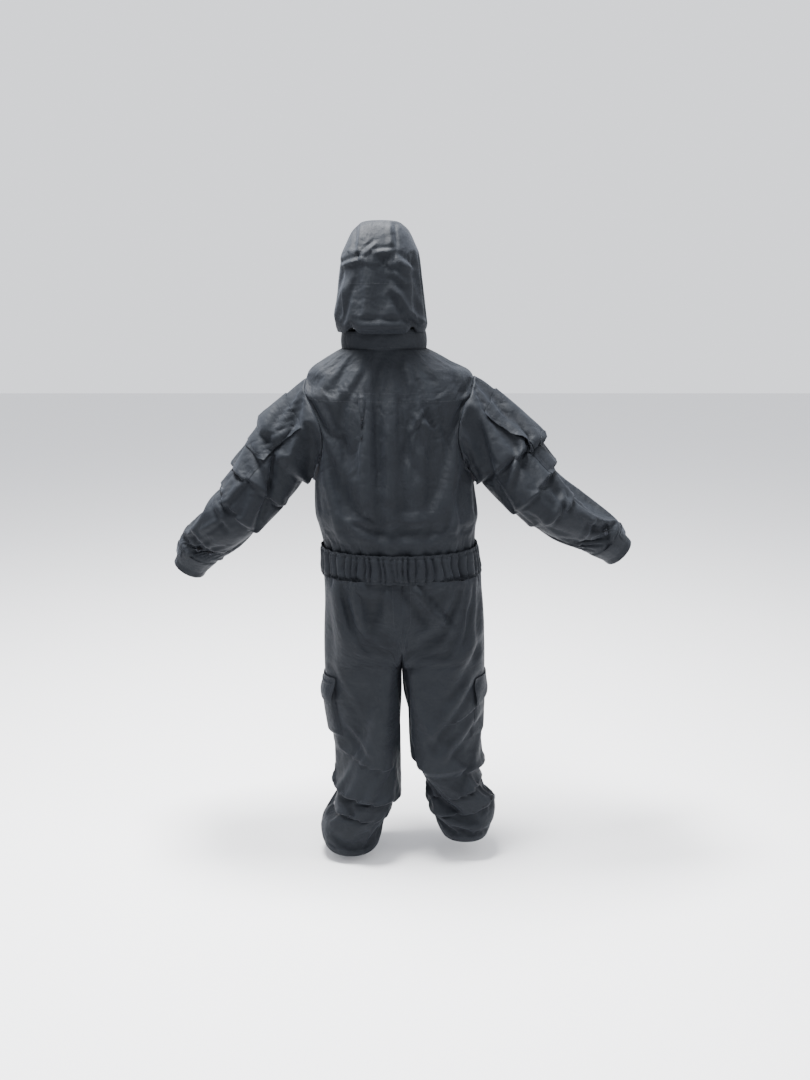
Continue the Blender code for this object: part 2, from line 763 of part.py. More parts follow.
# ---------------------------------------------------------------- legs
def build_leg(side, torso, hip_cutter):
    knee, hem = KNEE[side], HEM[side]
    hip = Vector((knee.x, 0.0, HIP_AXIS_HEIGHT))
    upper, lower = Limb(hip, knee), Limb(knee, hem)
    out_sign = 1.0 if upper.across.x * OUTWARD[side] > 0 else -1.0

    thigh = Body(f"{side}_upper_leg", hip, torso)
    rim = upper.length - 0.0225
    rings = [
        (0.215, 0.104, 0.138, 0.0),
        (0.300, 0.104, 0.134, 0.0),
        (0.390, 0.104, 0.120, 0.0),
        (rim, 0.104, 0.112, 0.0425),
    ]
    outer = thigh.add(f"{side}_upper_leg", upper.tube("leg", rings, 20), CLOTH_MATERIAL)
    liner = thigh.add(
        f"{side}_upper_leg_liner", upper.tube("liner", rings, 16, LINER_INSET), LINER_MATERIAL)
    solidify(outer, CLOTH)
    solidify(liner, LINER)
    cut(outer, hip_cutter)
    cut(liner, hip_cutter)

    # A bellows pocket on the outside of the thigh, open at its top, under a flap.
    pocket_from, pocket_to, skin, bellows = 0.345, 0.490, (0.1055, 0.132), 0.026
    bag = thigh.add(f"{side}_cargo_pocket", limb_patch(
        "bag", upper, pocket_from, pocket_to, 0.52, skin, (0.0, bellows), out_sign), CLOTH_MATERIAL)
    cut(bag, make_cutter(f"{side}_pocket_hollow", limb_patch(
        "hollow", upper, pocket_from - 0.01, pocket_to - 0.005, 0.49, skin, (0.004, bellows - 0.004),
        out_sign,
    )))
    flap_from, flap_to, flap_skin = pocket_from - 0.012, pocket_from + 0.058, bellows + 0.0015
    flap_body = Body(
        f"{side}_cargo_flap", upper.point(flap_from, out_sign * (skin[0] + flap_skin)), thigh)
    flap_body.add(f"{side}_cargo_flap", limb_patch(
        "flap", upper, flap_from, flap_to, 0.56, skin, (flap_skin, flap_skin + 0.003), out_sign,
    ), CLOTH_MATERIAL)

    shin = Body(f"{side}_lower_leg", knee, thigh)
    hem_start = lower.length - 0.035
    rings = [
        ball_ring(-0.050, KNEE_BALL, KNEE_BALL, KNEE_BALL),
        ball_ring(-0.026, KNEE_BALL, KNEE_BALL, KNEE_BALL),
        (0.0, KNEE_BALL, KNEE_BALL, 0.0),
        (0.120, 0.089, 0.089, 0.0),
        (0.240, 0.089, 0.091, 0.0),
        (hem_start - SEAM, 0.080, 0.085, 0.0),
    ]
    solidify(shin.add(f"{side}_lower_leg", lower.tube("leg", rings, 18), CLOTH_MATERIAL), CLOTH)
    solidify(shin.add(
        f"{side}_lower_leg_liner", lower.tube("liner", rings, 14, LINER_INSET), LINER_MATERIAL), LINER)
    rings = [
        (hem_start, 0.079, 0.084, 0.0),
        (lower.length - 0.016, 0.075, 0.080, 0.0),
        (lower.length, 0.075, 0.080, 0.0),
    ]
    solidify(shin.add(f"{side}_hem_band", lower.tube("hem", rings, 18), CLOTH_MATERIAL), 0.004)

    # A side zip lets the boot through. It lies along the outside of the lower leg.
    lower_sign = 1.0 if lower.across.x * OUTWARD[side] > 0 else -1.0
    lower_out = lower.across * lower_sign
    zip_from, zip_to, zip_skin = 0.115, 0.245, 0.0895
    limb_plate(
        shin, lower, f"{side}_ankle_zip", (zip_from + zip_to) / 2, lower_sign * (zip_skin + 0.0016), 0.0,
        (0.022, 0.0024, zip_to - zip_from), lower_out, TRIM_MATERIAL, 0.0005,
    )
    slider_at = zip_to - 0.012
    slider = Body(f"{side}_ankle_slider", lower.point(slider_at, lower_sign * (zip_skin + 0.006)), shin)
    limb_plate(
        slider, lower, f"{side}_ankle_slider", slider_at, lower_sign * (zip_skin + 0.0056), 0.0,
        (0.009, 0.0045, 0.014), lower_out, METAL_MATERIAL, 0.001,
    )


# ---------------------------------------------------------------- assembly
def build_suit():
    torso = Body("torso", NECK)
    armholes = make_armhole_cutters()
    below = make_below_cutter()
    build_trunk(torso, armholes, below)
    build_waist(torso)
    build_gusset(torso)
    build_collar(torso)
    build_closure(torso)

    hood_pivot = HOOD_CENTRE + Vector((0.0, -0.096, HOOD_LOW))
    build_hood(Body("hood", hood_pivot, torso))

    hip_cutter = make_hip_cutter("leg_arc", SEAT_RADIUS + LEG_CLEAR)
    for side in SIDES:
        build_sleeve(side, torso)
        build_leg(side, torso, hip_cutter)


build_suit()
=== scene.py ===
"""The hooded protective suit as worn: outer cloth draped over the suit's own frame, with its liner.

Every piece of cloth starts as a grid of points in the wearer's frame (heights above the floor).
The grid is sculpted, settled with Blender's Cloth, refined, and then cut into sewn panels.
"""

import itertools
import math

import bmesh
import bpy
import numpy as np
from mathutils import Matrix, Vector


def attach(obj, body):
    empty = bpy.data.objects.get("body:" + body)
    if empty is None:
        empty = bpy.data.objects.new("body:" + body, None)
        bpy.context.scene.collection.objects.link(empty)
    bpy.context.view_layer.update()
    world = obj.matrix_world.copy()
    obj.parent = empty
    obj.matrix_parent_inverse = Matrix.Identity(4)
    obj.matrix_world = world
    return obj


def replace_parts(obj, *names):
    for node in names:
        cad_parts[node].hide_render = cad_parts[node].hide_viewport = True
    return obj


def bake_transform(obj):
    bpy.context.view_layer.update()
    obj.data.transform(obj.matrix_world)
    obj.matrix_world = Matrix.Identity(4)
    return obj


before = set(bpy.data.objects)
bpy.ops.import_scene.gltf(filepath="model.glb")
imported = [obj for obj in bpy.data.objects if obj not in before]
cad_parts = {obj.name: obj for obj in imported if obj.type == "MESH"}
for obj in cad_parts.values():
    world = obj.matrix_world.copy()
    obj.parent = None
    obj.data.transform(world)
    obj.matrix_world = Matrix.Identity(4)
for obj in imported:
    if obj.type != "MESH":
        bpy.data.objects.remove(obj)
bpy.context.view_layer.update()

NECK = np.array((-0.055115, 0.0, 1.455))  # the frame's origin, in the wearer's frame
CLOTH = 0.0016
LINER_DEPTH = 0.0050
LINER = 0.0012
SIDES = ("left", "right")
OUTWARD = {"left": -1.0, "right": 1.0}
PI = math.pi


# ---------------------------------------------------------------- numbers
def smooth(value):
    value = np.clip(value, 0.0, 1.0)
    return value * value * (3 - 2 * value)


def table(rows, at):
    """Each column of a table in millimetres, taken smoothly at the places in its first column."""
    rows = np.array(sorted(rows)) / 1000
    at = np.clip(np.asarray(at, float), rows[0, 0], rows[-1, 0])
    place = np.clip(np.searchsorted(rows[:, 0], at, "right") - 1, 0, len(rows) - 2)
    low, high = rows[place, 0], rows[place + 1, 0]
    share = (at - low) / (high - low)
    before, after = np.maximum(place - 1, 0), np.minimum(place + 2, len(rows) - 1)
    result = []
    for column in range(1, rows.shape[1]):
        value = rows[:, column]
        span = high - low
        slope_a = (value[place + 1] - value[before]) / (rows[place + 1, 0] - rows[before, 0]) * span
        slope_b = (value[after] - value[place]) / (rows[after, 0] - rows[place, 0]) * span
        a, b = value[place], value[place + 1]
        s = share
        result.append(
            (2 * s**3 - 3 * s**2 + 1) * a + (s**3 - 2 * s**2 + s) * slope_a
            + (3 * s**2 - 2 * s**3) * b + (s**3 - s**2) * slope_b
        )
    return result


def power(value, exponent):
    return np.sign(value) * np.abs(value) ** exponent


def unit(vectors):
    return vectors / np.maximum(np.linalg.norm(vectors, axis=-1, keepdims=True), 1e-9)


def xyz(x, y, z):
    """Points from their coordinates, which may differ in shape."""
    return np.stack(np.broadcast_arrays(x, y, z), -1)


def nearest(values, wanted):
    return int(np.argmin(np.abs(values - wanted)))


# ---------------------------------------------------------------- grids of points
def refine(grid, closed):
    """Twice as many points each way, on a smooth surface through the old ones."""
    for axis in (1, 0):
        wrap = closed and axis == 1
        points = np.moveaxis(grid, axis, 0)
        if wrap:
            before, after, two = np.roll(points, 1, 0), np.roll(points, -1, 0), np.roll(points, -2, 0)
            middle = (9 * (points + after) - before - two) / 16
        else:
            padded = np.concatenate([2 * points[:1] - points[1:2], points, 2 * points[-1:] - points[-2:-1]])
            middle = (9 * (padded[1:-2] + padded[2:-1]) - padded[:-3] - padded[3:]) / 16
            middle = np.concatenate([middle, middle[-1:]])
        woven = np.stack([points, middle], 1).reshape(-1, *points.shape[1:])
        if not wrap:
            woven = woven[:-1]
        grid = np.moveaxis(woven, 0, axis)
    return grid


def normals_of(grid, closed):
    """Outward normals, for rows that run up and points that run anticlockwise."""
    if closed:
        across = np.roll(grid, -1, 1) - np.roll(grid, 1, 1)
    else:
        across = np.gradient(grid, axis=1)
    return unit(np.cross(across, np.gradient(grid, axis=0)))


def lengths_of(grid, closed):
    """Distances in metres across and along a grid, for its texture."""
    along = np.linalg.norm(np.diff(grid, axis=0), axis=2).mean(1)
    across = np.linalg.norm(np.diff(grid, axis=1), axis=2).mean(0)
    if closed:
        across = np.append(across, across.mean())
    return np.append(0, np.cumsum(across)), np.append(0, np.cumsum(along))


# ---------------------------------------------------------------- materials
class Surface:
    """A new material whose nodes are added, set and linked in one step."""

    def __init__(self, name, **values):
        self.material = bpy.data.materials.new(name)
        self.material.use_nodes = True
        self.tree = self.material.node_tree
        self.shader = self.tree.nodes["Principled BSDF"]
        self.set(self.shader, **values)

    def set(self, node, **values):
        """Each named input gets its value, or a link from another node's output."""
        for name, value in values.items():
            socket = node.inputs[name.replace("_", " ")]
            if isinstance(value, bpy.types.NodeSocket):
                self.tree.links.new(value, socket)
            else:
                socket.default_value = value
        return node

    def add(self, kind, **values):
        return self.set(self.tree.nodes.new("ShaderNode" + kind), **values)

    def bump(self, height, strength, distance, **before):
        node = self.add("Bump", Height=height, Strength=strength, Distance=distance, **before)
        return node.outputs["Normal"]


def cloth_material(name, low, high, roughness, sheen, weave, crumple):
    """Woven cloth: soft mottling, a fine twill and small creases, all from its own texture lengths."""
    cloth = Surface(
        name, Roughness=roughness, Specular_IOR_Level=0.10,
        Sheen_Weight=sheen, Sheen_Roughness=0.45, Sheen_Tint=(0.75, 0.82, 1.0, 1.0))
    place = cloth.add("TexCoord").outputs["UV"]

    def noise(scale, detail, rough=0.5):
        return cloth.add("TexNoise", Vector=place, Scale=scale, Detail=detail, Roughness=rough).outputs

    ramp = cloth.add("ValToRGB", Fac=noise(11.0, 6.0, 0.62)["Fac"])
    for element, position, colour in zip(ramp.color_ramp.elements, (0.30, 0.72), (low, high)):
        element.position = position
        element.color = (*colour, 1.0)
    twill = cloth.add("TexWave", Vector=place, Scale=260.0, Distortion=0.6, Detail_Scale=30.0)
    twill.wave_type = "BANDS"
    twill.bands_direction = "DIAGONAL"
    warp = cloth.add("VectorMath")
    warp.operation = "MULTIPLY_ADD"
    cloth.tree.links.new(noise(14.0, 2.0)["Color"], warp.inputs[0])
    warp.inputs[1].default_value = (0.09, 0.09, 0.0)
    cloth.tree.links.new(place, warp.inputs[2])
    crease = cloth.add("TexVoronoi", Vector=warp.outputs["Vector"], Scale=17.0)
    crease.feature = "DISTANCE_TO_EDGE"
    soften = cloth.add("MapRange", Value=crease.outputs["Distance"], From_Max=0.22)
    soften.interpolation_type = "SMOOTHERSTEP"
    normal = cloth.bump(noise(22.0, 3.0)["Fac"], crumple, 0.010)
    normal = cloth.bump(soften.outputs["Result"], crumple * 0.45, 0.0028, Normal=normal)
    normal = cloth.bump(twill.outputs["Fac"], weave, 0.0005, Normal=normal)
    normal = cloth.bump(noise(1500.0, 2.0)["Fac"], weave * 0.7, 0.0005, Normal=normal)
    cloth.set(cloth.shader, Base_Color=ramp.outputs["Color"], Normal=normal)
    return cloth.material, name


def plain_material(name, colour, roughness, metallic=0.0):
    plain = Surface(name, Base_Color=(*colour, 1.0), Roughness=roughness, Metallic=metallic)
    grain = plain.add("TexNoise", Scale=900.0).outputs["Fac"]
    plain.set(plain.shader, Normal=plain.bump(grain, 0.15, 0.0004))
    return plain.material, name


# Each is a material and the name of its slot.
OUTER = cloth_material(
    "outer_cloth", (0.0062, 0.0074, 0.0097), (0.0095, 0.0112, 0.0140), 0.60, 0.03, 0.45, 0.55)
INNER = cloth_material("charcoal_liner", (0.008, 0.008, 0.009), (0.012, 0.012, 0.013), 0.95, 0.10, 0.30, 0.15)
TRIM = cloth_material("trim", (0.010, 0.011, 0.013), (0.014, 0.016, 0.019), 0.75, 0.10, 0.50, 0.05)
THREAD = plain_material("thread", (0.022, 0.025, 0.031), 0.7)
METAL = plain_material("zip_metal", (0.15, 0.15, 0.16), 0.38, 1.0)


# ---------------------------------------------------------------- making objects
def add_to_scene(name, data):
    node = bpy.data.objects.new(name, data)
    bpy.context.scene.collection.objects.link(node)
    return node


def new_object(name, points, faces):
    mesh = bpy.data.meshes.new(name)
    mesh.from_pydata((np.asarray(points).reshape(-1, 3) - NECK).tolist(), [], faces)
    mesh.polygons.foreach_set("use_smooth", [True] * len(mesh.polygons))
    return add_to_scene(name, mesh)


def grid_faces(rows, columns, closed):
    row = np.arange(rows - 1)[:, None] * columns
    column = np.arange(columns if closed else columns - 1)[None, :]
    after = (column + 1) % columns
    corners = [row + column, row + after, row + columns + after, row + columns + column]
    return np.stack(corners, -1).reshape(-1, 4)


STITCH_PITCH, STITCH_LENGTH, STITCH_WIDTH = 0.0036, 0.0024, 0.0007


def stitches(line, normals):
    """Thread along a line on the cloth: one small pointed body for each stitch."""
    steps = np.linalg.norm(np.diff(line, axis=0), axis=1)
    total = np.append(0, np.cumsum(steps))
    places = np.arange(STITCH_PITCH / 2, total[-1], STITCH_PITCH)

    def at(values, where):
        return np.stack([np.interp(where, total, values[:, i]) for i in range(3)], -1)

    way = unit(at(line, places + 0.0006) - at(line, places - 0.0006))
    out = unit(at(normals, places))
    along = way * STITCH_LENGTH / 2
    across = np.cross(way, out) * STITCH_WIDTH / 2
    middle = at(line, places) + out * STITCH_WIDTH * 0.25
    out = out * STITCH_WIDTH / 2
    corners = np.stack([-along, across, -across, out, -out, along], 1)
    points = (middle[:, None] + corners).reshape(-1, 3)
    pattern = np.array((
        (0, 1, 3), (0, 3, 2), (0, 2, 4), (0, 4, 1), (5, 3, 1), (5, 2, 3), (5, 4, 2), (5, 1, 4)))
    faces = (np.arange(len(places))[:, None, None] * 6 + pattern).reshape(-1, 3)
    return points, faces


def region(grid, *blocks):
    """The quads of a grid that lie in any of the blocks: first and last row, first and last column."""
    inside = np.zeros((grid.shape[0] - 1, grid.shape[1]), bool)
    for r0, r1, c0, c1 in blocks:
        inside[r0:r1, c0:c1] = True
    return inside


def shell(name, grid, normals, closed, cloth=OUTER, thickness=CLOTH, depth=0.0, sewn=(), inside=None):
    """A closed body of cloth: the grid set in by depth, and its back a thickness further in.

    inside picks the quads that belong to the piece, and sewn lists the lines of points, with
    their normals, that carry stitches.
    """
    rows, columns = grid.shape[:2]
    count = rows * columns
    quads = grid_faces(rows, columns, closed)
    if inside is not None:
        quads = quads[inside[:, :columns if closed else columns - 1].reshape(-1)]
    edges = np.stack([quads, np.roll(quads, -1, 1)], -1).reshape(-1, 2)
    lone = ~np.isin(edges[:, 0] * count + edges[:, 1], edges[:, 1] * count + edges[:, 0])
    start, end = edges[lone].T
    front = len(quads)
    faces = np.concatenate([
        quads, quads[:, ::-1] + count, np.stack([end, start, start + count, end + count], -1),
    ])
    used, packed = np.unique(faces, return_inverse=True)
    packed = packed.reshape(faces.shape)
    outer = grid - normals * depth
    points = [np.concatenate([outer.reshape(-1, 3), (outer - normals * thickness).reshape(-1, 3)])[used]]
    thread = []
    first = len(used)
    for line, line_normals in sewn:
        more, triangles = stitches(line, line_normals)
        points.append(more)
        thread.append(triangles + first)
        first += len(more)
    thread = np.concatenate(thread) if thread else np.zeros((0, 3), int)
    node = new_object(name, np.concatenate(points), packed.tolist() + thread.tolist())
    mesh = node.data
    mesh.materials.append(cloth[0])
    mesh.materials.append(THREAD[0])
    mesh.polygons.foreach_set("material_index", [0] * len(faces) + [1] * len(thread))

    across, along = lengths_of(grid, closed)
    row_of, column_of = (faces % count) // columns, faces % columns
    if closed:
        wraps = (column_of.max(1) - column_of.min(1)) > columns // 2
        column_of = column_of + columns * (wraps[:, None] & (column_of < columns // 2))
    shift = 0.37 * (sum(map(ord, name)) % 53)
    place = np.stack([across[column_of] + shift, along[row_of]], -1).reshape(-1, 2)
    uv = mesh.uv_layers.new(name="lengths")
    uv.data.foreach_set("uv", np.concatenate([place, np.zeros((3 * len(thread), 2))]).reshape(-1))

    flat = normals.reshape(-1, 3)
    split = np.zeros((len(faces), 4, 3))
    split[:front] = flat[faces[:front]]
    split[front:2 * front] = -flat[faces[front:2 * front] - count]
    split = np.concatenate([split.reshape(-1, 3), np.zeros((3 * len(thread), 3))])
    mesh.normals_split_custom_set(split.tolist())
    return node


# ---------------------------------------------------------------- cloth
def set_all(target, **values):
    for name, value in values.items():
        setattr(target, name, value)


def obstacle(name, grid):
    """A closed smooth form inside the suit that the cloth rests on, only while it settles."""
    rows, columns = grid.shape[:2]
    faces = grid_faces(rows, columns, True).tolist()
    faces += [list(range(columns))[::-1], list(range((rows - 1) * columns, rows * columns))]
    node = new_object(name, grid, faces)
    node.modifiers.new("solid", "COLLISION")
    set_all(node.collision, thickness_outer=0.004, thickness_inner=0.02, cloth_friction=12.0, damping=0.6)
    return node


def settle(name, grid, closed, rest, pins, frames, pressure):
    """The grid after its cloth has settled. rest is the same grid at its cut size; pins hold it."""
    rows, columns = grid.shape[:2]
    node = new_object(name, grid, grid_faces(rows, columns, closed).tolist())
    node.shape_key_add(name="Basis")
    cut = node.shape_key_add(name="cut")
    cut.data.foreach_set("co", (rest.reshape(-1, 3) - NECK).reshape(-1))
    cut.value = 0.0
    group = node.vertex_groups.new(name="held")
    levels = np.round(np.clip(pins, 0, 1).reshape(-1), 3)
    for level in np.unique(levels):
        if level > 0:
            group.add(np.nonzero(levels == level)[0].tolist(), float(level), "REPLACE")
    modifier = node.modifiers.new("cloth", "CLOTH")
    set_all(
        modifier.settings, quality=6, mass=0.12, air_damping=2.0,
        tension_stiffness=25, compression_stiffness=25, shear_stiffness=8, bending_stiffness=3.0,
        tension_damping=12, compression_damping=12, shear_damping=12, bending_damping=1.0,
        rest_shape_key=cut, vertex_group_mass="held", pin_stiffness=1.0,
        use_pressure=True, uniform_pressure_force=pressure)
    modifier.collision_settings.distance_min = 0.003
    set_all(modifier.point_cache, frame_start=1, frame_end=frames)
    scene = bpy.context.scene
    for step in range(1, frames + 1):
        scene.frame_set(step)
    made = node.evaluated_get(bpy.context.evaluated_depsgraph_get()).data
    points = np.zeros(rows * columns * 3, np.float32)
    made.vertices.foreach_get("co", points)
    bpy.data.objects.remove(node)
    scene.frame_set(1)
    return points.reshape(rows, columns, 3).astype(float) + NECK


# ---------------------------------------------------------------- the wearer's form, while cloth settles
CENTRE_OF_TRUNK = 0.073  # sideways lean, metres per metre above LEAN_FROM
LEAN_FROM = 0.70
SQUARE = 0.8
RAISED_SHOULDER = 0.020  # the right arm is held higher, and its shoulder is fuller

# Millimetres: height, half width, depth behind, depth in front.
TRUNK = (
    (835, 212, 140, 139),
    (870, 203, 136, 137),
    (905, 201, 136, 135),
    (940, 206, 144, 134),
    (975, 213, 151, 132),
    (1010, 222, 155, 130),
    (1045, 221, 156, 128),
    (1210, 208, 151, 119),
    (1300, 224, 144, 113),
    (1340, 231, 136, 112),
    (1372, 215, 124, 111),
    (1400, 200, 113, 109),
    (1425, 166, 103, 108),
    (1455, 108, 92, 106),
)


def centre_x(height):
    return -CENTRE_OF_TRUNK * (np.asarray(height) - LEAN_FROM)


def trunk_points(height, angle, inset=0.0):
    """Points of the trunk. Angle 0 is the right side seam and 90 degrees the front."""
    half, back, front = table(TRUNK, height)
    sine, cosine = np.sin(angle), np.cos(angle)
    half = half + RAISED_SHOULDER * np.exp(-((np.asarray(height) - 1.385) / 0.035) ** 2) * (cosine > 0)
    depth = np.where(sine > 0, front, back)
    x = centre_x(height) + (half - inset) * power(cosine, SQUARE)
    return xyz(x, (depth - inset) * power(sine, SQUARE), height)


def trunk_middle(heights):
    return xyz(centre_x(heights), 0 * heights, heights)


def tube(centres, across, fore, half_across, half_fore, angles):
    """Rings of points: one row for each centre, with its own axes and half widths."""
    return (
        centres[:, None] + across[:, None] * (half_across[:, None] * np.cos(angles))[..., None]
        + fore[:, None] * (half_fore[:, None] * np.sin(angles))[..., None]
    )


ELBOW_SOFTNESS = 0.05


class Spine:
    """The middle line of a sleeve, bent smoothly at the elbow, with axes across and fore-and-aft."""

    def __init__(self, start, bend, end, count):
        start, bend, end = (np.array(p, float) for p in (start, bend, end))
        first, second = np.linalg.norm(bend - start), np.linalg.norm(end - bend)
        self.at = np.linspace(0, first + second, count)
        self.bend_at = first
        share = smooth((self.at - first + ELBOW_SOFTNESS) / (2 * ELBOW_SOFTNESS))[:, None]
        way = unit(unit(bend - start) * (1 - share) + unit(end - bend) * share)
        step = self.at[1]
        points = start + np.concatenate([np.zeros((1, 3)), np.cumsum((way[1:] + way[:-1]) / 2 * step, 0)])
        self.points = points + (end - points[-1]) * (self.at / self.at[-1])[:, None]
        self.way = way
        forward = np.array((0.0, 1.0, 0.0))
        self.fore = unit(forward - (way @ forward)[:, None] * way)
        self.across = np.cross(self.fore, way)
        if self.across[0, 2] < 0:
            self.across = -self.across

    def above_cuff(self):
        """Which of its points the sleeve's cloth covers: down to just inside the cuff."""
        return self.at < self.at[-1] - CUFF_LENGTH + CUFF_OVERLAP


# The sleeves' cloth hangs out from the wearer's arms, so it has its own elbows and ends.
ARM_BEND = {"left": (-0.488, -0.015, 1.043), "right": (0.406, -0.015, 1.066)}
CUFF_AT = {"left": (-0.608, 0.035, 0.842), "right": (0.600, 0.035, 0.888)}
SHOULDER = {side: (float(centre_x(1.235)) + OUTWARD[side] * 0.262, -0.005, 1.235) for side in SIDES}
ELBOW = {"left": (-0.442, -0.015, 1.040), "right": (0.375, -0.015, 1.045)}
CUFF_END = {"left": (-0.600, 0.035, 0.835), "right": (0.598, 0.035, 0.880)}
KNEE_X = {"left": -0.113, "right": 0.128}
KNEE_HEIGHT = 0.392
HEM_MIDDLE = {"left": (-0.146, -0.030), "right": (0.174, -0.020)}

AROUND = np.linspace(0, 2 * PI, 32, endpoint=False)


def wearer():
    """Smooth forms for the trunk, head, arms and legs. They are removed once the cloth has settled."""
    forms = [obstacle("form_trunk", trunk_points(np.linspace(0.60, 1.41, 40)[:, None], AROUND, 0.024))]
    heights = np.linspace(1.40, 1.764, 30)[:, None]
    rise = (heights - 1.60) / 0.165
    head = np.sqrt(np.clip(1 - np.clip(rise, 0, 1) ** 2, 0.01, 1))
    half = np.where(heights < 1.50, 0.075, 0.098) * head
    forms.append(obstacle("form_head", xyz(
        -0.062 + half * np.cos(AROUND), -0.004 + 1.06 * half * np.sin(AROUND), heights)))
    for side in SIDES:
        spine = Spine(SHOULDER[side], ELBOW[side], CUFF_END[side], 30)
        radius = np.interp(spine.at / spine.at[-1], (0, 0.4, 1.0), (0.072, 0.058, 0.034))
        forms.append(obstacle(f"form_{side}_arm", tube(
            spine.points, spine.across, spine.fore, radius, radius,
            AROUND[::-1] if spine.across[0, 0] > 0 else AROUND)))
        heights = np.linspace(0.03, 0.66, 30)[:, None]
        radius = np.interp(heights, (0.03, 0.12, 0.30, 0.40, 0.66), (0.055, 0.052, 0.062, 0.066, 0.084))
        x = np.interp(heights, (0.05, KNEE_HEIGHT), (HEM_MIDDLE[side][0], KNEE_X[side]))
        y = np.interp(heights, (0.05, KNEE_HEIGHT), (HEM_MIDDLE[side][1], -0.012))
        forms.append(obstacle(f"form_{side}_leg", xyz(
            x + radius * np.cos(AROUND), y + radius * np.sin(AROUND), heights)))
    return forms


# ---------------------------------------------------------------- folds and gathers
def along_rows(grid):
    """How far down its rows a grid has come, in metres, and each row's outward direction."""
    middle = grid.mean(1)
    distance = np.append(0, np.cumsum(np.linalg.norm(np.diff(middle, axis=0), axis=1)))
    return distance, unit(grid - middle[:, None])


def add_fold(grid, at, out, above, below, drop, turned, span, slant, lip):
    """Cloth that hangs over itself: it swells towards a line across the rows and tucks in below it.

    at is the line's distance down the rows in the middle of the fold, and slant moves the line
    round the tube. turned is the middle's angle from straight behind and span the half width.
    """
    distance, outward = along_rows(grid)
    angle = np.arctan2(outward[..., 1], outward[..., 0])
    turn = (angle + PI / 2 - turned + PI) % (2 * PI) - PI
    window = smooth((span - np.abs(turn)) / (0.45 * span))
    past = distance[:, None] - at - slant * np.sin(turn)
    swell = np.exp(-np.clip(-past, 0, None) / above) * smooth(0.5 - past / lip)
    tuck = np.exp(-np.clip(past, 0, None) / below) * smooth(0.5 + past / lip)
    down = unit(np.gradient(grid.mean(1), axis=0))[:, None]
    sag = np.exp(-(past / (above * 0.8)) ** 2) * np.where(past > 0, 0.25, 1.0)
    return (
        grid + outward * ((out * swell - 0.55 * out * tuck) * window)[..., None]
        + down * (drop * sag * window)[..., None]
    )


# how many pleats go round the body, and the seed of their spacing
FINE_PLEATS, MIDDLE_PLEATS, WIDE_PLEATS = (54, 12), (30, 4), (23, 3)


def pleats(angle, count, seed):
    """Uneven pleats round the body, from -1 in a valley to 1 on a crest."""
    random = np.random.default_rng(seed)
    edges = np.append(0, np.cumsum(random.uniform(0.55, 1.45, count)))
    edges = edges / edges[-1] * 2 * PI
    phase = np.interp(np.mod(angle, 2 * PI), edges, np.arange(count + 1) * 2 * PI)
    size = np.interp(np.mod(angle, 2 * PI), edges, np.append(random.uniform(0.5, 1.0, count), 0.8))
    return size * (2 * np.abs(np.sin(phase / 2)) ** 0.6 - 1)


def gathered(grid, normals, line, reach, height):
    """Fine puckers that run away from a gathered line, and a few that run further."""
    heights = grid[..., 2]
    angle = np.arctan2(grid[..., 1], grid[..., 0] - centre_x(heights))
    near = np.exp(-np.abs(heights - line) / reach)
    far = np.exp(-(np.abs(heights - line) / (2.6 * reach)) ** 2)
    out = height * (pleats(angle, *FINE_PLEATS) * near + 0.55 * pleats(angle, *WIDE_PLEATS) * far)
    return grid + normals * out[..., None]


def creased(grid, closed, lines, strength=1.0):
    """Folds behind. Each line has its two ends, sideways and up, its width and its height, in mm.

    The cloth rises on the right of the way from the first end to the second, as seen from the
    front, and dips on the left.
    """
    normals = normals_of(grid, closed)
    behind = smooth(-normals[..., 1] / 0.4 + 0.2)
    for x0, z0, x1, z1, width, height in np.array(lines) / 1000:
        way = np.array((x1 - x0, z1 - z0))
        length = np.linalg.norm(way)
        way = way / length
        away = grid[..., (0, 2)] - np.array((x0, z0))
        along = away @ way / length
        off = away @ np.array((way[1], -way[0]))
        taper = smooth((along + 0.15) / 0.4) * smooth((1.15 - along) / 0.4)
        ridge = np.exp(-((off - width) / width) ** 2)
        valley = np.exp(-((off + 0.7 * width) / (0.7 * width)) ** 2)
        shape = ridge - 0.6 * valley
        grid = grid + normals * (height * shape * taper * behind * strength)[..., None]
    return grid


def relaxed(grid, passes, share):
    """The grid with each point moved a share of the way to the middle of its neighbours."""
    grid = grid.copy()
    for _ in range(passes):
        mean = (grid[:-2, 1:-1] + grid[2:, 1:-1] + grid[1:-1, :-2] + grid[1:-1, 2:]) / 4
        grid[1:-1, 1:-1] += share * (mean - grid[1:-1, 1:-1])
    return grid


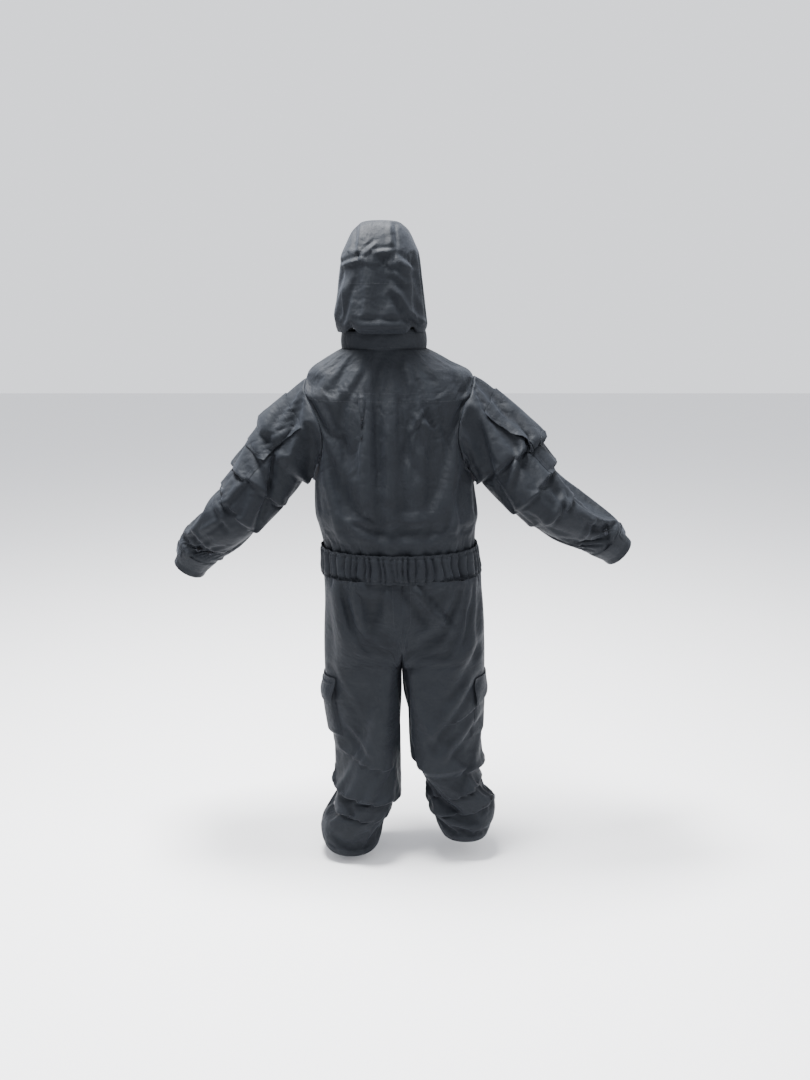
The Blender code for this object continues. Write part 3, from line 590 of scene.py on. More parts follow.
# ---------------------------------------------------------------- legs
# Millimetres: height, inseam, outer side, depth behind, depth in front, middle.
LEG = {
    "right": (
        (848, -10, 205, 141, 138, 0),
        (800, -9, 214, 149, 136, 0),
        (756, -8, 223, 154, 134, 0),
        (700, -8, 227, 156, 132, 0),
        (650, -8, 229, 152, 130, 0),
        (588, -9, 230, 144, 126, 0),
        (540, -8, 230, 138, 122, -2),
        (486, -3, 229, 132, 118, -4),
        (425, 13, 224, 126, 114, -8),
        (332, 24, 219, 114, 106, -10),
        (285, 40, 230, 110, 102, -12),
        (250, 66, 252, 104, 98, -14),
        (200, 62, 278, 100, 96, -16),
        (160, 60, 276, 100, 94, -18),
        (120, 84, 266, 96, 90, -20),
        (90, 94, 252, 90, 84, -20),
        (70, 104, 244, 86, 80, -20),
    ),
    "left": (
        (848, -10, -222, 141, 138, 0),
        (800, -9, -222, 149, 136, 0),
        (756, -8, -221, 154, 134, 0),
        (700, -8, -224, 156, 132, 0),
        (650, -8, -226, 152, 130, 0),
        (588, -9, -228, 144, 126, 0),
        (540, -9, -228, 138, 122, -2),
        (486, -9, -227, 132, 118, -4),
        (400, -14, -212, 122, 112, -8),
        (332, -20, -201, 114, 106, -10),
        (260, -21, -200, 110, 102, -15),
        (218, -22, -204, 108, 100, -20),
        (170, -30, -218, 104, 96, -25),
        (130, -52, -240, 98, 90, -30),
        (100, -62, -248, 94, 86, -30),
        (75, -66, -246, 90, 82, -30),
        (52, -72, -238, 88, 80, -30),
    ),
}
HEM_DROP = {"left": 0.026, "right": 0.006}  # how far each hem hangs lower behind
CROTCH = 0.588
CROTCH_POINT = np.array((-0.009, 0.0, CROTCH))
SEAT_CREASES = {
    "left": (
        (-110, 860, -100, 600, 18, 10),
        (-50, 850, -75, 680, 14, -8),
        (-180, 850, -145, 640, 16, 8),
        (-60, 640, -150, 520, 15, 7),
        (-200, 600, -120, 450, 13, -5),
        (-30, 520, -90, 420, 12, 4.5),
        (-170, 420, -90, 330, 11, -4.5),
    ),
    "right": (
        (0, 850, 98, 690, 14, -8),
        (22, 850, 126, 722, 10, 9),
        (120, 690, 98, 600, 11, 5),
        (140, 860, 185, 740, 16, -4),
        (60, 700, 110, 540, 15, -8),
        (215, 680, 90, 480, 18, 11),
        (200, 560, 70, 380, 16, 9),
        (215, 440, 110, 320, 13, 7),
        (40, 450, 100, 350, 10, -4.5),
    ),
}
WAIST_TOP_OF_LEG = 0.848
KNEE_SPLIT = 0.445  # KNEE_SPLIT = 0.445 # the leg's cloth is cut here, above the knee
LEG_COLUMNS = 81
LEG_SQUARE = 0.86
ABOVE_CROTCH, BELOW_CROTCH = 32, 68
# What add_fold takes, in metres and radians.
LEG_FOLDS = {
    "left": (
        (0.648, 0.017, 0.060, 0.024, 0.024, 0.0, 3.1, 0.016, 0.006),
        (0.712, 0.012, 0.030, 0.018, 0.014, 0.2, 2.2, 0.022, 0.006),
        (0.545, 0.007, 0.045, 0.030, 0.010, -0.4, 1.5, 0.030, 0.012),
    ),
    "right": (
        (0.562, 0.017, 0.060, 0.022, 0.022, 0.0, 3.1, 0.006, 0.006),
        (0.645, 0.011, 0.030, 0.018, 0.014, 0.0, 2.4, -0.030, 0.006),
        (0.700, 0.010, 0.026, 0.016, 0.012, 0.5, 2.2, -0.022, 0.006),
        (0.400, 0.006, 0.050, 0.030, 0.010, 0.9, 1.0, -0.060, 0.014),
    ),
}


def leg_heights(side, above, below):
    """Heights of rows above the crotch and below it."""
    return np.concatenate([
        np.linspace(WAIST_TOP_OF_LEG, CROTCH, above, endpoint=False),
        np.linspace(CROTCH, LEG[side][-1][0] / 1000, below),
    ])


def leg_grid(side):
    """Rows run down from the waist. Above the crotch a row is open at the centre seam."""
    o = OUTWARD[side]
    heights = leg_heights(side, ABOVE_CROTCH, BELOW_CROTCH)[:, None]
    inner, outer, back, front, middle = table(LEG[side], heights)
    down = np.clip((WAIST_TOP_OF_LEG - heights) / (WAIST_TOP_OF_LEG - CROTCH), 0, 1)
    sine = np.clip(1 - down**5, 0, 1) ** 0.55
    reach = PI - np.arcsin(np.clip(sine, 0, 0.985))
    angle = -o * np.linspace(-1, 1, LEG_COLUMNS) * reach
    sine, cosine = power(np.sin(angle), LEG_SQUARE), power(np.cos(angle), LEG_SQUARE)
    edge = np.abs(power(np.cos(reach), LEG_SQUARE))
    cosine = np.where(cosine < 0, cosine / edge, cosine)
    depth = np.where(np.sin(angle) > 0, front, back)
    grid = xyz((inner + outer) / 2 + (outer - inner) / 2 * cosine, middle + depth * sine, heights)
    grid[..., 2] -= HEM_DROP[side] * smooth((0.16 - heights) / 0.10) * np.clip(-np.sin(angle), 0, 1)

    body_angle = np.arctan2(grid[..., 1], grid[..., 0] - inner)
    reach = np.exp(-((heights - WAIST_TOP_OF_LEG) / 0.035) ** 2)
    ripple = pleats(body_angle, *MIDDLE_PLEATS) * 0.0045 * reach
    return grid + unit(grid - xyz(inner, 0 * inner, heights)) * ripple[..., None]


def stretched(grid, extra, wider, middle=None):
    """The grid at its cut size: extra is each row's added share of length, wider its added girth."""
    middle = grid.mean(1) if middle is None else middle
    steps = np.diff(middle, axis=0)
    way = unit(np.gradient(middle, axis=0))
    added = np.append(0, np.cumsum(np.linalg.norm(steps, axis=1) * (extra[1:] + extra[:-1]) / 2))
    return middle[:, None] + (grid - middle[:, None]) * (1 + wider) + (way * added[:, None])[:, None]


def make_leg_cloth(side):
    grid = leg_grid(side)
    for fold in LEG_FOLDS[side]:
        grid = add_fold(grid, *fold)
    heights = grid[..., 2].mean(1)
    extra = np.interp(heights, (0.07, 0.12, 0.30, 0.40, 0.60, 0.80), (0.10, 0.26, 0.22, 0.06, 0.04, 0.02))
    pins = np.full(grid.shape[:2], 0.02)
    pins[:, (0, -1)] = 1.0
    pins[:2] = 1.0
    pins[-3:] = 0.8
    grid = settle(f"{side}_leg", grid, False, stretched(grid, extra, 0.04), pins, 36, 1.2)
    grid = refine(grid, False)
    near = np.exp(-(np.linalg.norm(grid - CROTCH_POINT, axis=-1) / 0.19) ** 4)[1:-1, 1:-1, None]
    grid = relaxed(relaxed(grid, 14, 0.8 * near), 2, 0.5)
    clear = smooth((np.linalg.norm(grid - CROTCH_POINT, axis=-1) - 0.15) / 0.09)
    grid = creased(grid, False, SEAT_CREASES[side], clear)
    return gathered(grid, normals_of(grid, False), WAIST_TOP_OF_LEG, 0.018, 0.0026)


# ---------------------------------------------------------------- trunk
TRUNK_LOW, TRUNK_HIGH = 0.905, 1.452
BACK_CREASES = (
    (-90, 1400, -80, 960, 20, 13),
    (-25, 1330, -20, 950, 18, 11),
    (60, 1300, 50, 950, 18, 7.5),
    (30, 1330, 0, 1120, 10, -5),
    (70, 1340, 110, 1180, 10, 5),
    (20, 1300, 75, 1255, 7, 3),
    (60, 1310, 10, 1230, 6, 2.8),
    (135, 1400, 165, 1300, 10, -6),
    (190, 1180, 110, 960, 13, -6),
    (130, 1080, 150, 930, 12, 5.5),
    (-215, 1320, -150, 1180, 11, 5.5),
    (-200, 1160, -160, 960, 13, 6),
    (-150, 1300, -140, 1020, 12, -4.5),
    (-110, 1400, -150, 1330, 10, 5),
    (-60, 1430, -70, 1340, 10, -4),
    (10, 1430, 30, 1350, 10, 4),
)
FRONT_OPENING = 0.0145
YOKE = 1.338
ARMHOLE = (1.237, 0.138, 0.092, -0.004)  # height, half height, half depth, middle
PART_COLUMNS = (22, 8, 72, 8, 22)  # left front, left armhole, back, right armhole, right front


def trunk_grid():
    """Rows run up. Columns run from the left front edge round the back to the right front edge."""
    heights = np.linspace(TRUNK_LOW, TRUNK_HIGH, 56)[:, None]
    half, back, front = table(TRUNK, heights)
    middle, half_height, half_depth, y = ARMHOLE
    share = np.clip(1 - ((heights - middle) / half_height) ** 2, 0, 1)
    hole = np.maximum(half_depth * np.sqrt(share), 0.030)

    def side_angle(place, depth):
        return np.arcsin((np.abs(place) / depth) ** (1 / SQUARE))

    ahead, behind = side_angle(hole + y, front), side_angle(hole - y, back)
    gap = np.arcsin((FRONT_OPENING / half) ** (1 / SQUARE))
    ends = (PI / 2 + gap, PI - ahead, PI + behind, 2 * PI - behind, 2 * PI + ahead, 2.5 * PI - gap)
    parts = [
        low + (high - low) * np.arange(count) / count
        for low, high, count in zip(ends, ends[1:], PART_COLUMNS)
    ]
    angle = np.concatenate([*parts, ends[-1]], 1)
    grid = trunk_points(heights, angle)
    ripple = pleats(angle, *MIDDLE_PLEATS) * (
        0.0045 * np.exp(-((heights - TRUNK_LOW) / 0.030) ** 2)
        + 0.0030 * np.exp(-((heights - TRUNK_LOW) / 0.075) ** 2)
    )
    return grid + unit(grid - trunk_middle(heights)) * ripple[..., None], angle


def part_columns(scale=1):
    """Where each part of the trunk's columns starts, and where the last one ends."""
    return [scale * edge for edge in np.append(0, np.cumsum(PART_COLUMNS))]


def hole_rows(heights):
    """The first and last row beside the armholes."""
    low, high = ARMHOLE[0] - ARMHOLE[1], ARMHOLE[0] + ARMHOLE[1]
    inside = np.nonzero((heights > low) & (heights < high))[0]
    return inside[0], inside[-1]


def make_trunk_cloth():
    grid, angle = trunk_grid()
    heights = grid[:, 0, 2]
    first, last = hole_rows(heights)
    pins = np.full(grid.shape[:2], 0.015)
    pins *= np.interp(heights, (1.26, 1.40), (1.0, 12.0))[:, None]
    edges = part_columns()
    for low, high in ((edges[1], edges[2]), (edges[3], edges[4])):
        pins[first:last + 1, low:high + 1] = 1.0
    front = np.sin(angle) > 0.80
    pins[front] = np.maximum(pins[front], 0.3)
    pins[:, (0, -1)] = 1.0
    pins[(0, 1, -2, -1), :] = 1.0
    extra = np.interp(heights, (0.91, 0.95, 1.05, 1.30, 1.36), (0.10, 0.13, 0.08, 0.06, 0.02))
    rest = stretched(grid, extra, 0.0)
    wider = np.interp(heights, (0.91, 0.98, 1.25, 1.36), (0.06, 0.09, 0.08, 0.02))
    middle = np.stack([centre_x(heights), 0 * heights], -1)[:, None]
    rest[..., :2] = middle + (rest[..., :2] - middle) * (1 + wider)[:, None, None]
    grid = settle("trunk", grid, False, rest, pins, 40, 0.6)
    grid = creased(refine(grid, False), False, BACK_CREASES)
    return gathered(grid, normals_of(grid, False), TRUNK_LOW, 0.022, 0.0034)


# ---------------------------------------------------------------- sleeves
# Millimetres: distance from the shoulder, half width across, half width fore-and-aft.
SLEEVE = (
    (0, 96, 85),
    (60, 99, 90),
    (120, 102, 97),
    (190, 103, 100),
    (240, 97, 94),
    (300, 94, 89),
    (360, 88, 82),
    (410, 74, 69),
    (455, 60, 58),
    (520, 56, 55),
)
CUFF_LENGTH, CUFF_OVERLAP = 0.062, 0.004
ELBOW_SEAM = 0.035  # how far above the elbow the sleeve is cut
TAB_COLUMNS = (34, 63)  # the cuff's columns under its tab
TAB_HINGE = {"left": (-0.560, -0.009, -0.557), "right": (0.650, -0.008, -0.510)}
ARM_POCKET = {"left": 0.0025, "right": 0.0045}  # how far each stands off
HEAD_LIFT = {"left": 0.002, "right": 0.016}  # how far the head of each sleeve stands up
SLEEVE_CREASES = {
    "left": (
        (-330, 1300, -400, 1150, 12, 6),
        (-290, 1280, -330, 1130, 10, 5.5),
        (-400, 1210, -350, 1090, 9, -5.5),
        (-420, 1110, -480, 1040, 9, 5.5),
        (-520, 1060, -470, 980, 8, -5),
        (-480, 1010, -550, 960, 8, 4.5),
        (-590, 980, -520, 900, 8, -4.5),
        (-560, 930, -600, 880, 7, 4),
    ),
    "right": (
        (250, 1310, 330, 1140, 12, -6),
        (200, 1270, 240, 1120, 10, -5.5),
        (320, 1230, 280, 1090, 9, 5.5),
        (380, 1130, 440, 1030, 9, -5.5),
        (430, 1080, 390, 990, 8, 5),
        (460, 1030, 530, 970, 8, -5),
        (520, 1010, 480, 930, 8, 4.5),
        (550, 990, 570, 900, 7, -4.5),
    ),
}
SLEEVE_COLUMNS = 64
SLEEVE_FOLDS = {
    "left": (
        (0.112, 0.014, 0.045, 0.022, 0.018, 0.0, 2.6, 0.010, 0.006),
        (0.225, 0.010, 0.030, 0.018, 0.012, -0.5, 2.2, -0.012, 0.006),
        (0.300, 0.009, 0.028, 0.018, 0.012, -0.3, 2.0, 0.014, 0.006),
    ),
    "right": (
        (0.140, 0.014, 0.045, 0.022, 0.018, 0.0, 2.6, 0.024, 0.006),
        (0.240, 0.010, 0.030, 0.018, 0.012, 0.4, 2.2, -0.012, 0.006),
        (0.320, 0.008, 0.028, 0.018, 0.010, 0.3, 2.0, 0.012, 0.006),
    ),
}


def armhole_ring(cloth, side, angles):
    """Points on the trunk's armhole edge, at angles about its middle: 0 is up and 90 degrees ahead."""
    edges = part_columns(2)
    first, last = hole_rows(np.linspace(TRUNK_LOW, TRUNK_HIGH, len(cloth)))
    low, high = (edges[1], edges[2]) if side == "left" else (edges[3], edges[4])
    ring = np.concatenate([
        cloth[first:last, low], cloth[last, low:high], cloth[last:first:-1, high], cloth[first, high:low:-1],
    ])
    place = np.mod(np.arctan2(ring[:, 1] - ARMHOLE[3], ring[:, 2] - ARMHOLE[0]), 2 * PI)
    order = np.argsort(place)
    return np.stack([
        np.interp(np.mod(angles, 2 * PI), place[order], ring[order, i], period=2 * PI) for i in range(3)
    ], -1)


def sleeve_angles(side):
    return -OUTWARD[side] * 2 * PI * np.arange(SLEEVE_COLUMNS) / SLEEVE_COLUMNS + PI


def make_sleeve_cloth(side, trunk):
    spine = Spine(SHOULDER[side], ARM_BEND[side], CUFF_AT[side], 70)
    keep = spine.above_cuff()
    scale = spine.at[-1] / (SLEEVE[-1][0] / 1000)
    across, fore = table(SLEEVE, spine.at / scale)
    angles = sleeve_angles(side)
    grid = tube(spine.points, spine.across, spine.fore, across, fore, angles)[keep]
    at = spine.at[keep]
    ring = armhole_ring(trunk, side, angles)
    share = smooth(at / 0.085)[:, None, None]
    grid = ring * (1 - share) + grid * share
    _, outward = along_rows(grid)
    up = np.clip(outward[..., 2], 0, 1) ** 1.5
    behind = np.clip(-outward[..., 1], 0, 1)
    head = np.sin(PI * np.clip(at / 0.170, 0, 1) ** 0.7)[:, None]
    puff = np.sin(PI * np.clip(at / 0.080, 0, 1) ** 0.7)[:, None]
    grid = grid + outward * (HEAD_LIFT[side] * head * up + 0.010 * puff * behind)[..., None]
    grid[..., 2] += 0.5 * HEAD_LIFT[side] * head * up
    for fold in SLEEVE_FOLDS[side]:
        grid = add_fold(grid, *fold)
    extra = np.interp(at, (0.0, 0.05, 0.12, 0.40), (0.02, 0.12, 0.18, 0.16))
    pins = np.full(grid.shape[:2], 0.02)
    pins[:2] = 1.0
    pins[-3:] = 1.0
    rest = stretched(grid, extra, 0.04, spine.points[keep])
    grid = settle(f"{side}_sleeve", grid, True, rest, pins, 36, 1.2)
    grid = refine(grid, True)
    away = np.linspace(0, at[-1], len(grid))[:, None]
    return creased(grid, True, SLEEVE_CREASES[side], smooth(away / 0.05)), spine


# ---------------------------------------------------------------- hood
# Millimetres: height, half width, depth behind, depth in front.
HOOD = (
    (1498, 116, 106, 100),
    (1512, 120, 120, 108),
    (1530, 121, 128, 112),
    (1565, 121, 130, 116),
    (1620, 117, 128, 116),
    (1680, 105, 120, 110),
    (1725, 86, 106, 98),
    (1752, 72, 92, 86),
    (1766, 57, 78, 74),
    (1774, 40, 58, 56),
    (1777, 1.5, 2, 2),
)
HOOD_MIDDLE = (-0.062, -0.004)
HOOD_SQUARE = 0.88
HOOD_FOLD = (0.118, 0.006, 0.050, 0.030, 0.004, -0.4, 1.8, 0.012, 0.024)  # as LEG_FOLDS, from the top
HOOD_CREASES = (
    (-138, 1620, -170, 1515, 11, 8.5),
    (-30, 1600, 5, 1545, 11, -8),
    (0, 1548, 55, 1508, 10, -8),
    (-116, 1765, -122, 1700, 8, -6.5),
    (-31, 1765, -26, 1705, 8, 6),
    (-108, 1692, -75, 1720, 6, 4),
    (-80, 1698, -30, 1702, 7, 4.5),
    (-165, 1668, -108, 1684, 7, 5),
    (-18, 1686, 25, 1655, 9, 5),
    (-34, 1642, 4, 1608, 9, -4.5),
    (20, 1640, 40, 1570, 9, 4),
    (-125, 1524, 5, 1522, 10, 6),
)
HOOD_SLOTS = (4.07, 5.44)  # where the hood's lower edge lifts off the collar
FACE_HALF, FACE_SPRING = 0.078, 1.625
HOOD_COLUMNS = 89
SIDE_PANEL = 21  # columns from the face edge to the seam of the centre panel, before refining


def make_hood_cloth():
    """Rows run up to the crown. Columns run from the left face edge round the back to the right one."""
    share = np.linspace(0, 1, 46)
    heights = np.interp(share, (0, 0.62, 0.80, 0.90, 1), (1.498, 1.700, 1.752, 1.772, 1.777))[:, None]
    half, back, front = table(HOOD, heights)
    rise = np.clip((heights - FACE_SPRING) / FACE_HALF, 0, 1)
    face = FACE_HALF * np.sqrt(1 - rise**2)
    gap = np.arcsin(np.clip(face / half, 0, 0.95))
    first, last = PI / 2 + gap, 2.5 * PI - gap
    angle = first + (last - first) * np.linspace(0, 1, HOOD_COLUMNS)
    depth = np.where(np.sin(angle) > 0, front, back)
    grid = xyz(
        HOOD_MIDDLE[0] + half * power(np.cos(angle), HOOD_SQUARE),
        HOOD_MIDDLE[1] + depth * power(np.sin(angle), HOOD_SQUARE), heights)
    behind = np.clip(-np.sin(angle), 0, 1)
    sag = 0.003 * behind**2 * smooth((1.56 - heights) / 0.06)
    grid[..., 2] -= sag
    for slot in HOOD_SLOTS:
        grid[..., 2] += 0.015 * np.exp(-((angle - slot) / 0.14) ** 2) * smooth((1.545 - heights) / 0.04)
    grid = add_fold(grid[::-1], *HOOD_FOLD)[::-1]
    pins = np.full(grid.shape[:2], 0.03)
    pins[:, (0, 1, -2, -1)] = 1.0
    pins[-18:] = 0.7
    pins[:2] = 0.30
    extra = np.interp(heights[:, 0], (1.50, 1.60, 1.72), (0.09, 0.07, 0.02))
    rest = stretched(grid, extra, 0.03, xyz(*HOOD_MIDDLE, heights[:, 0]))
    grid = settle("hood", grid, False, rest, pins, 36, 0.5)
    cloth = creased(refine(grid, False), False, HOOD_CREASES)
    crown = cloth[-1].mean(0)
    cloth[-1] = crown + 0.1 * (cloth[-1] - crown)
    return cloth


# ---------------------------------------------------------------- pieces cut from the cloth
def past(rows, origin, way):
    """The first point from an origin along a way that all of some rows of cloth lie behind."""
    return origin + way * ((rows - NECK - origin) @ way).max()


def down_column(grid, normals, r0, r1, *columns):
    """Lines of stitches down some columns of a grid, between two rows."""
    return [(grid[r0:r1, c], normals[r0:r1, c]) for c in columns]


def along_row(grid, normals, c0, c1, *rows):
    """Lines of stitches along some rows of a grid. c1 None goes right round and closes."""
    if c1 is None:
        return [(np.vstack([grid[r], grid[r, :1]]), np.vstack([normals[r], normals[r, :1]])) for r in rows]
    return [(grid[r, c0:c1], normals[r, c0:c1]) for r in rows]


def cloth_piece(name, body, grid, normals, inside=None, closed=False, sewn=(), **more):
    """A piece that stands for the CAD node of its name and, given a body, rides on it."""
    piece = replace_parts(shell(name, grid, normals, closed, inside=inside, sewn=sewn, **more), name)
    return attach(piece, body) if body else piece


def lining(name, body, grid, normals, inside=None, closed=False):
    return cloth_piece(
        name, body, grid, normals, inside, closed, cloth=INNER, thickness=LINER, depth=LINER_DEPTH)


def raised(name, grid, normals, rows, columns, height, cloth=OUTER, ends=True, inset=2, thickness=CLOTH):
    """A piece that lies on the cloth, standing off it by height(down, across), both 0 to 1.

    Its sides are stitched, and its ends too unless ends is False.
    """
    area = np.s_[slice(*rows), slice(*columns)]
    part, part_normals = grid[area], normals[area]
    down = np.linspace(0, 1, part.shape[0])[:, None]
    across = np.linspace(0, 1, part.shape[1])[None, :]
    top = part + part_normals * height(down, across)[..., None]
    top_normals = normals_of(top, False)
    top_normals = top_normals * np.sign((top_normals * part_normals).sum(-1).mean())
    sewn = down_column(top, top_normals, 1, -1, inset, -1 - inset)
    if ends:
        sewn += along_row(top, top_normals, 1, -1, inset, -1 - inset)
    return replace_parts(shell(name, top, top_normals, False, cloth, thickness, sewn=sewn), name)


def bag(deep, edge):
    """The height of a bellows pocket: it rises steeply at its edges and sags towards its bottom."""

    def height(down, across):
        rim = smooth(np.minimum(across, 1 - across) / edge) * smooth((1 - down) / (edge * 0.8))
        rim = rim * smooth(down / 0.04 + 0.4)
        sag = 0.65 + 0.35 * np.sin(PI * np.clip(down * 0.75, 0, 1)) * np.sin(PI * across)
        return 0.0012 + deep * rim * sag

    return height


def flap(base, lift, wave):
    """The height of a flap: sewn down at its top, wavy and standing off at its bottom."""

    def height(down, across):
        rise = smooth(down * 1.2)
        ripple = wave * np.sin(across * 9.0 + 0.6) * np.sin(across * 4.0 + 1.1)
        return base + rise * (lift + ripple * down)

    return height


def ribbon(name, body, middles, rights, outs, width, thickness, cloth, crown=0.0, wave=0.0, sewn=True):
    """A strip of cloth along a line of middles, rows up the strip and points across it."""
    share = np.linspace(-1, 1, 17)
    rows = len(middles)
    random = np.random.default_rng(sum(map(ord, name)))
    ripple = wave * np.cumsum(random.normal(size=(rows, 1)), 0) / math.sqrt(rows)
    ripple = ripple - np.linspace(0, 1, rows)[:, None] * ripple[-1]
    out = crown * (1 - share**2) + ripple * share
    across = rights[:, None] * (share * width / 2)[:, None]
    grid = middles[:, None] + across + outs[:, None] * out[..., None]
    normals = normals_of(grid, False)
    lines = down_column(grid, normals, 1, -1, 1, -2) if sewn else []
    cloth_piece(name, body, grid, normals, cloth=cloth, thickness=thickness, sewn=lines)


# ---------------------------------------------------------------- the trunk's pieces
def build_trunk(cloth):
    normals = normals_of(cloth, False)
    edges = part_columns(2)
    rows, columns = cloth.shape[:2]
    heights = np.linspace(TRUNK_LOW, TRUNK_HIGH, rows)
    yoke = nearest(heights, YOKE)
    low, high = hole_rows(heights)
    left, right = (edges[1] + edges[2]) // 2, (edges[3] + edges[4]) // 2
    front_left, back_left, back_right, front_right = edges[1:5]

    def seams(r0, r1, *places):
        return down_column(cloth, normals, r0, r1, *places)

    beside_holes = (back_left + 1, back_left + 3, back_right - 1, back_right - 3)
    cloth_piece("back_panel", "torso", cloth, normals, region(
        cloth, (0, low, left, right), (low, yoke, back_left, back_right),
    ), sewn=[
        *seams(6, low, left + 2, right - 2), *seams(low, yoke, *beside_holes),
        *along_row(cloth, normals, back_left, back_right, yoke - 2),
    ])
    cloth_piece("back_yoke", "torso", cloth, normals, region(
        cloth, (yoke, high, back_left, back_right), (high, rows - 1, left, right),
    ), sewn=[
        *along_row(cloth, normals, back_left, back_right, yoke + 2), *seams(yoke, high, *beside_holes),
    ])
    for side, near, far, edge, step, front in (
        ("left", front_left, left, 2, 1, (0, front_left)),
        ("right", front_right, right, columns - 3, -1, (front_right, columns - 1)),
    ):
        span = sorted((far, near))
        cloth_piece(f"{side}_front_panel", "torso", cloth, normals, region(
            cloth, (0, rows - 1, *front), (0, low, *span), (high, rows - 1, *span),
        ), sewn=[
            *seams(4, rows - 4, edge, edge + 2 * step), *seams(6, low, far - 2 * step),
            *seams(low, high, near - step, near - 3 * step),
        ])
    lining("torso_liner", "torso", cloth, normals, region(
        cloth, (0, low, 0, columns - 1), (high, rows - 1, 0, columns - 1), (low, high, 0, front_left),
        (low, high, back_left, back_right), (low, high, front_right, columns - 1)))


CASING_LOW, CASING_HIGH = 0.842, 0.919


def build_waist():
    """The gathered casing, with a stitched header above and below its elastic."""
    heights = np.linspace(CASING_LOW, CASING_HIGH, 26)[:, None]
    angle = np.linspace(PI - 0.25, 2 * PI + 0.25, 420)
    grid = trunk_points(heights, angle)
    share = (2 * heights - CASING_LOW - CASING_HIGH) / (CASING_HIGH - CASING_LOW)
    swell = 1 - np.abs(share) ** 4
    pinch = 0.0022 * np.exp(-((np.abs(share) - 0.78) / 0.08) ** 2)
    round_body = np.arctan2(grid[..., 1], grid[..., 0] - centre_x(heights))
    wander = round_body + 0.012 * np.sin(3.1 * share + 7 * round_body)
    gathers = pleats(wander, *FINE_PLEATS) * (0.0020 + 0.0045 * swell) + pleats(wander, *WIDE_PLEATS) * 0.0030
    offset = 0.0100 + 0.0030 * swell + gathers - pinch
    slope = np.interp(angle, (PI, 1.5 * PI, 2 * PI), (0.004, 0.0, 0.006))
    grid = grid + unit(grid - trunk_middle(heights)) * offset[..., None]
    grid[..., 2] += slope + 0.0016 * pleats(round_body, *WIDE_PLEATS) * share
    normals = normals_of(grid, False)
    cloth_piece("waist_casing", "torso", grid, normals, sewn=along_row(grid, normals, 1, -1, 3, -4))

    heights = np.linspace(0.850, 0.900, 8)[:, None]
    grid = trunk_points(heights, np.linspace(PI - 0.05, 2 * PI + 0.05, 120), -0.0035)
    cloth_piece("waist_elastic", "torso", grid, normals_of(grid, False), cloth=TRIM)
    for side, low, high in (
        ("left", PI / 2 + 0.075, PI - 0.16), ("right", 2 * PI + 0.16, 2.5 * PI - 0.075),
    ):
        heights = np.linspace(0.828, 0.922, 22)[:, None]
        angle = np.linspace(low, high, 110)
        grid = trunk_points(heights, angle, -0.004)
        puckers = pleats(angle, *MIDDLE_PLEATS) * 0.0012
        grid = grid + unit(grid - trunk_middle(heights)) * puckers[..., None]
        normals = normals_of(grid, False)
        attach(shell(f"{side}_front_waist", grid, normals, False,
                      sewn=along_row(grid, normals, 1, -1, 2, -3)), "torso")


def front_y(heights):
    """How far ahead the front edges are: they slope back as they rise."""
    return 0.150 - 0.052 * (heights - 0.62)


def build_collar():
    """A stand collar, stitched along its top and bottom, with the hanger loop inside it."""
    share = np.linspace(0, 1, 16)[:, None]
    heights = 1.450 + 0.052 * share
    edge = math.asin(FRONT_OPENING / 0.106)
    angle = np.linspace(PI / 2 + edge, 2.5 * PI - edge, 240)
    depth = np.where(np.sin(angle) > 0, front_y(heights), 0.0935 + 0.004 * share)
    wave = 0.0016 * np.sin(5 * angle + 1.0) + 0.0010 * np.sin(11 * angle)
    swell = 0.0035 * np.sin(PI * share) + wave * share
    grid = xyz(
        centre_x(heights) + (0.112 - 0.003 * share + swell) * np.cos(angle), (depth + swell) * np.sin(angle),
        heights + 0.004 * np.cos(angle) + 0.0015 * np.sin(3 * angle))
    normals = normals_of(grid, False)
    sewn = along_row(grid, normals, 1, -1, 2, -3) + down_column(grid, normals, 2, -2, 2, -3)
    cloth_piece("collar", "torso", grid, normals, sewn=sewn, thickness=0.0035)

    turn = np.linspace(0, PI, 15)
    line = xyz(float(centre_x(1.46)) - 0.032 * np.cos(turn), -0.0815 + 0.014 * np.sin(turn), 1.462)
    rights = np.tile((0.0, 0.0, 1.0), (15, 1))
    outs = unit(np.cross(np.gradient(line, axis=0), rights))
    ribbon("hanger_loop", "torso", line, rights, outs, 0.010, 0.0014, TRIM)


# ---------------------------------------------------------------- the front closure
LEAN_AXIS = np.array((-0.073, -0.052, 1.0))
ZIP_UP = LEAN_AXIS / np.linalg.norm(LEAN_AXIS)
ZIP_RIGHT = unit(np.array((1.0, 0.0, 0.0)) - ZIP_UP[0] * ZIP_UP)
ZIP_OUT = np.cross(ZIP_UP, ZIP_RIGHT)


def zip_ribbon(name, body, low, high, right, out, width, thickness, cloth, **more):
    heights = np.linspace(low, high, max(8, int((high - low) / 0.008)))
    middles = xyz(centre_x(heights), front_y(heights), heights)
    middles = middles + ZIP_RIGHT * right + ZIP_OUT * (out + thickness / 2)
    rights, outs = (np.tile(way, (len(heights), 1)) for way in (-ZIP_RIGHT, ZIP_OUT))
    ribbon(name, body, middles, rights, outs, width, thickness, cloth, **more)


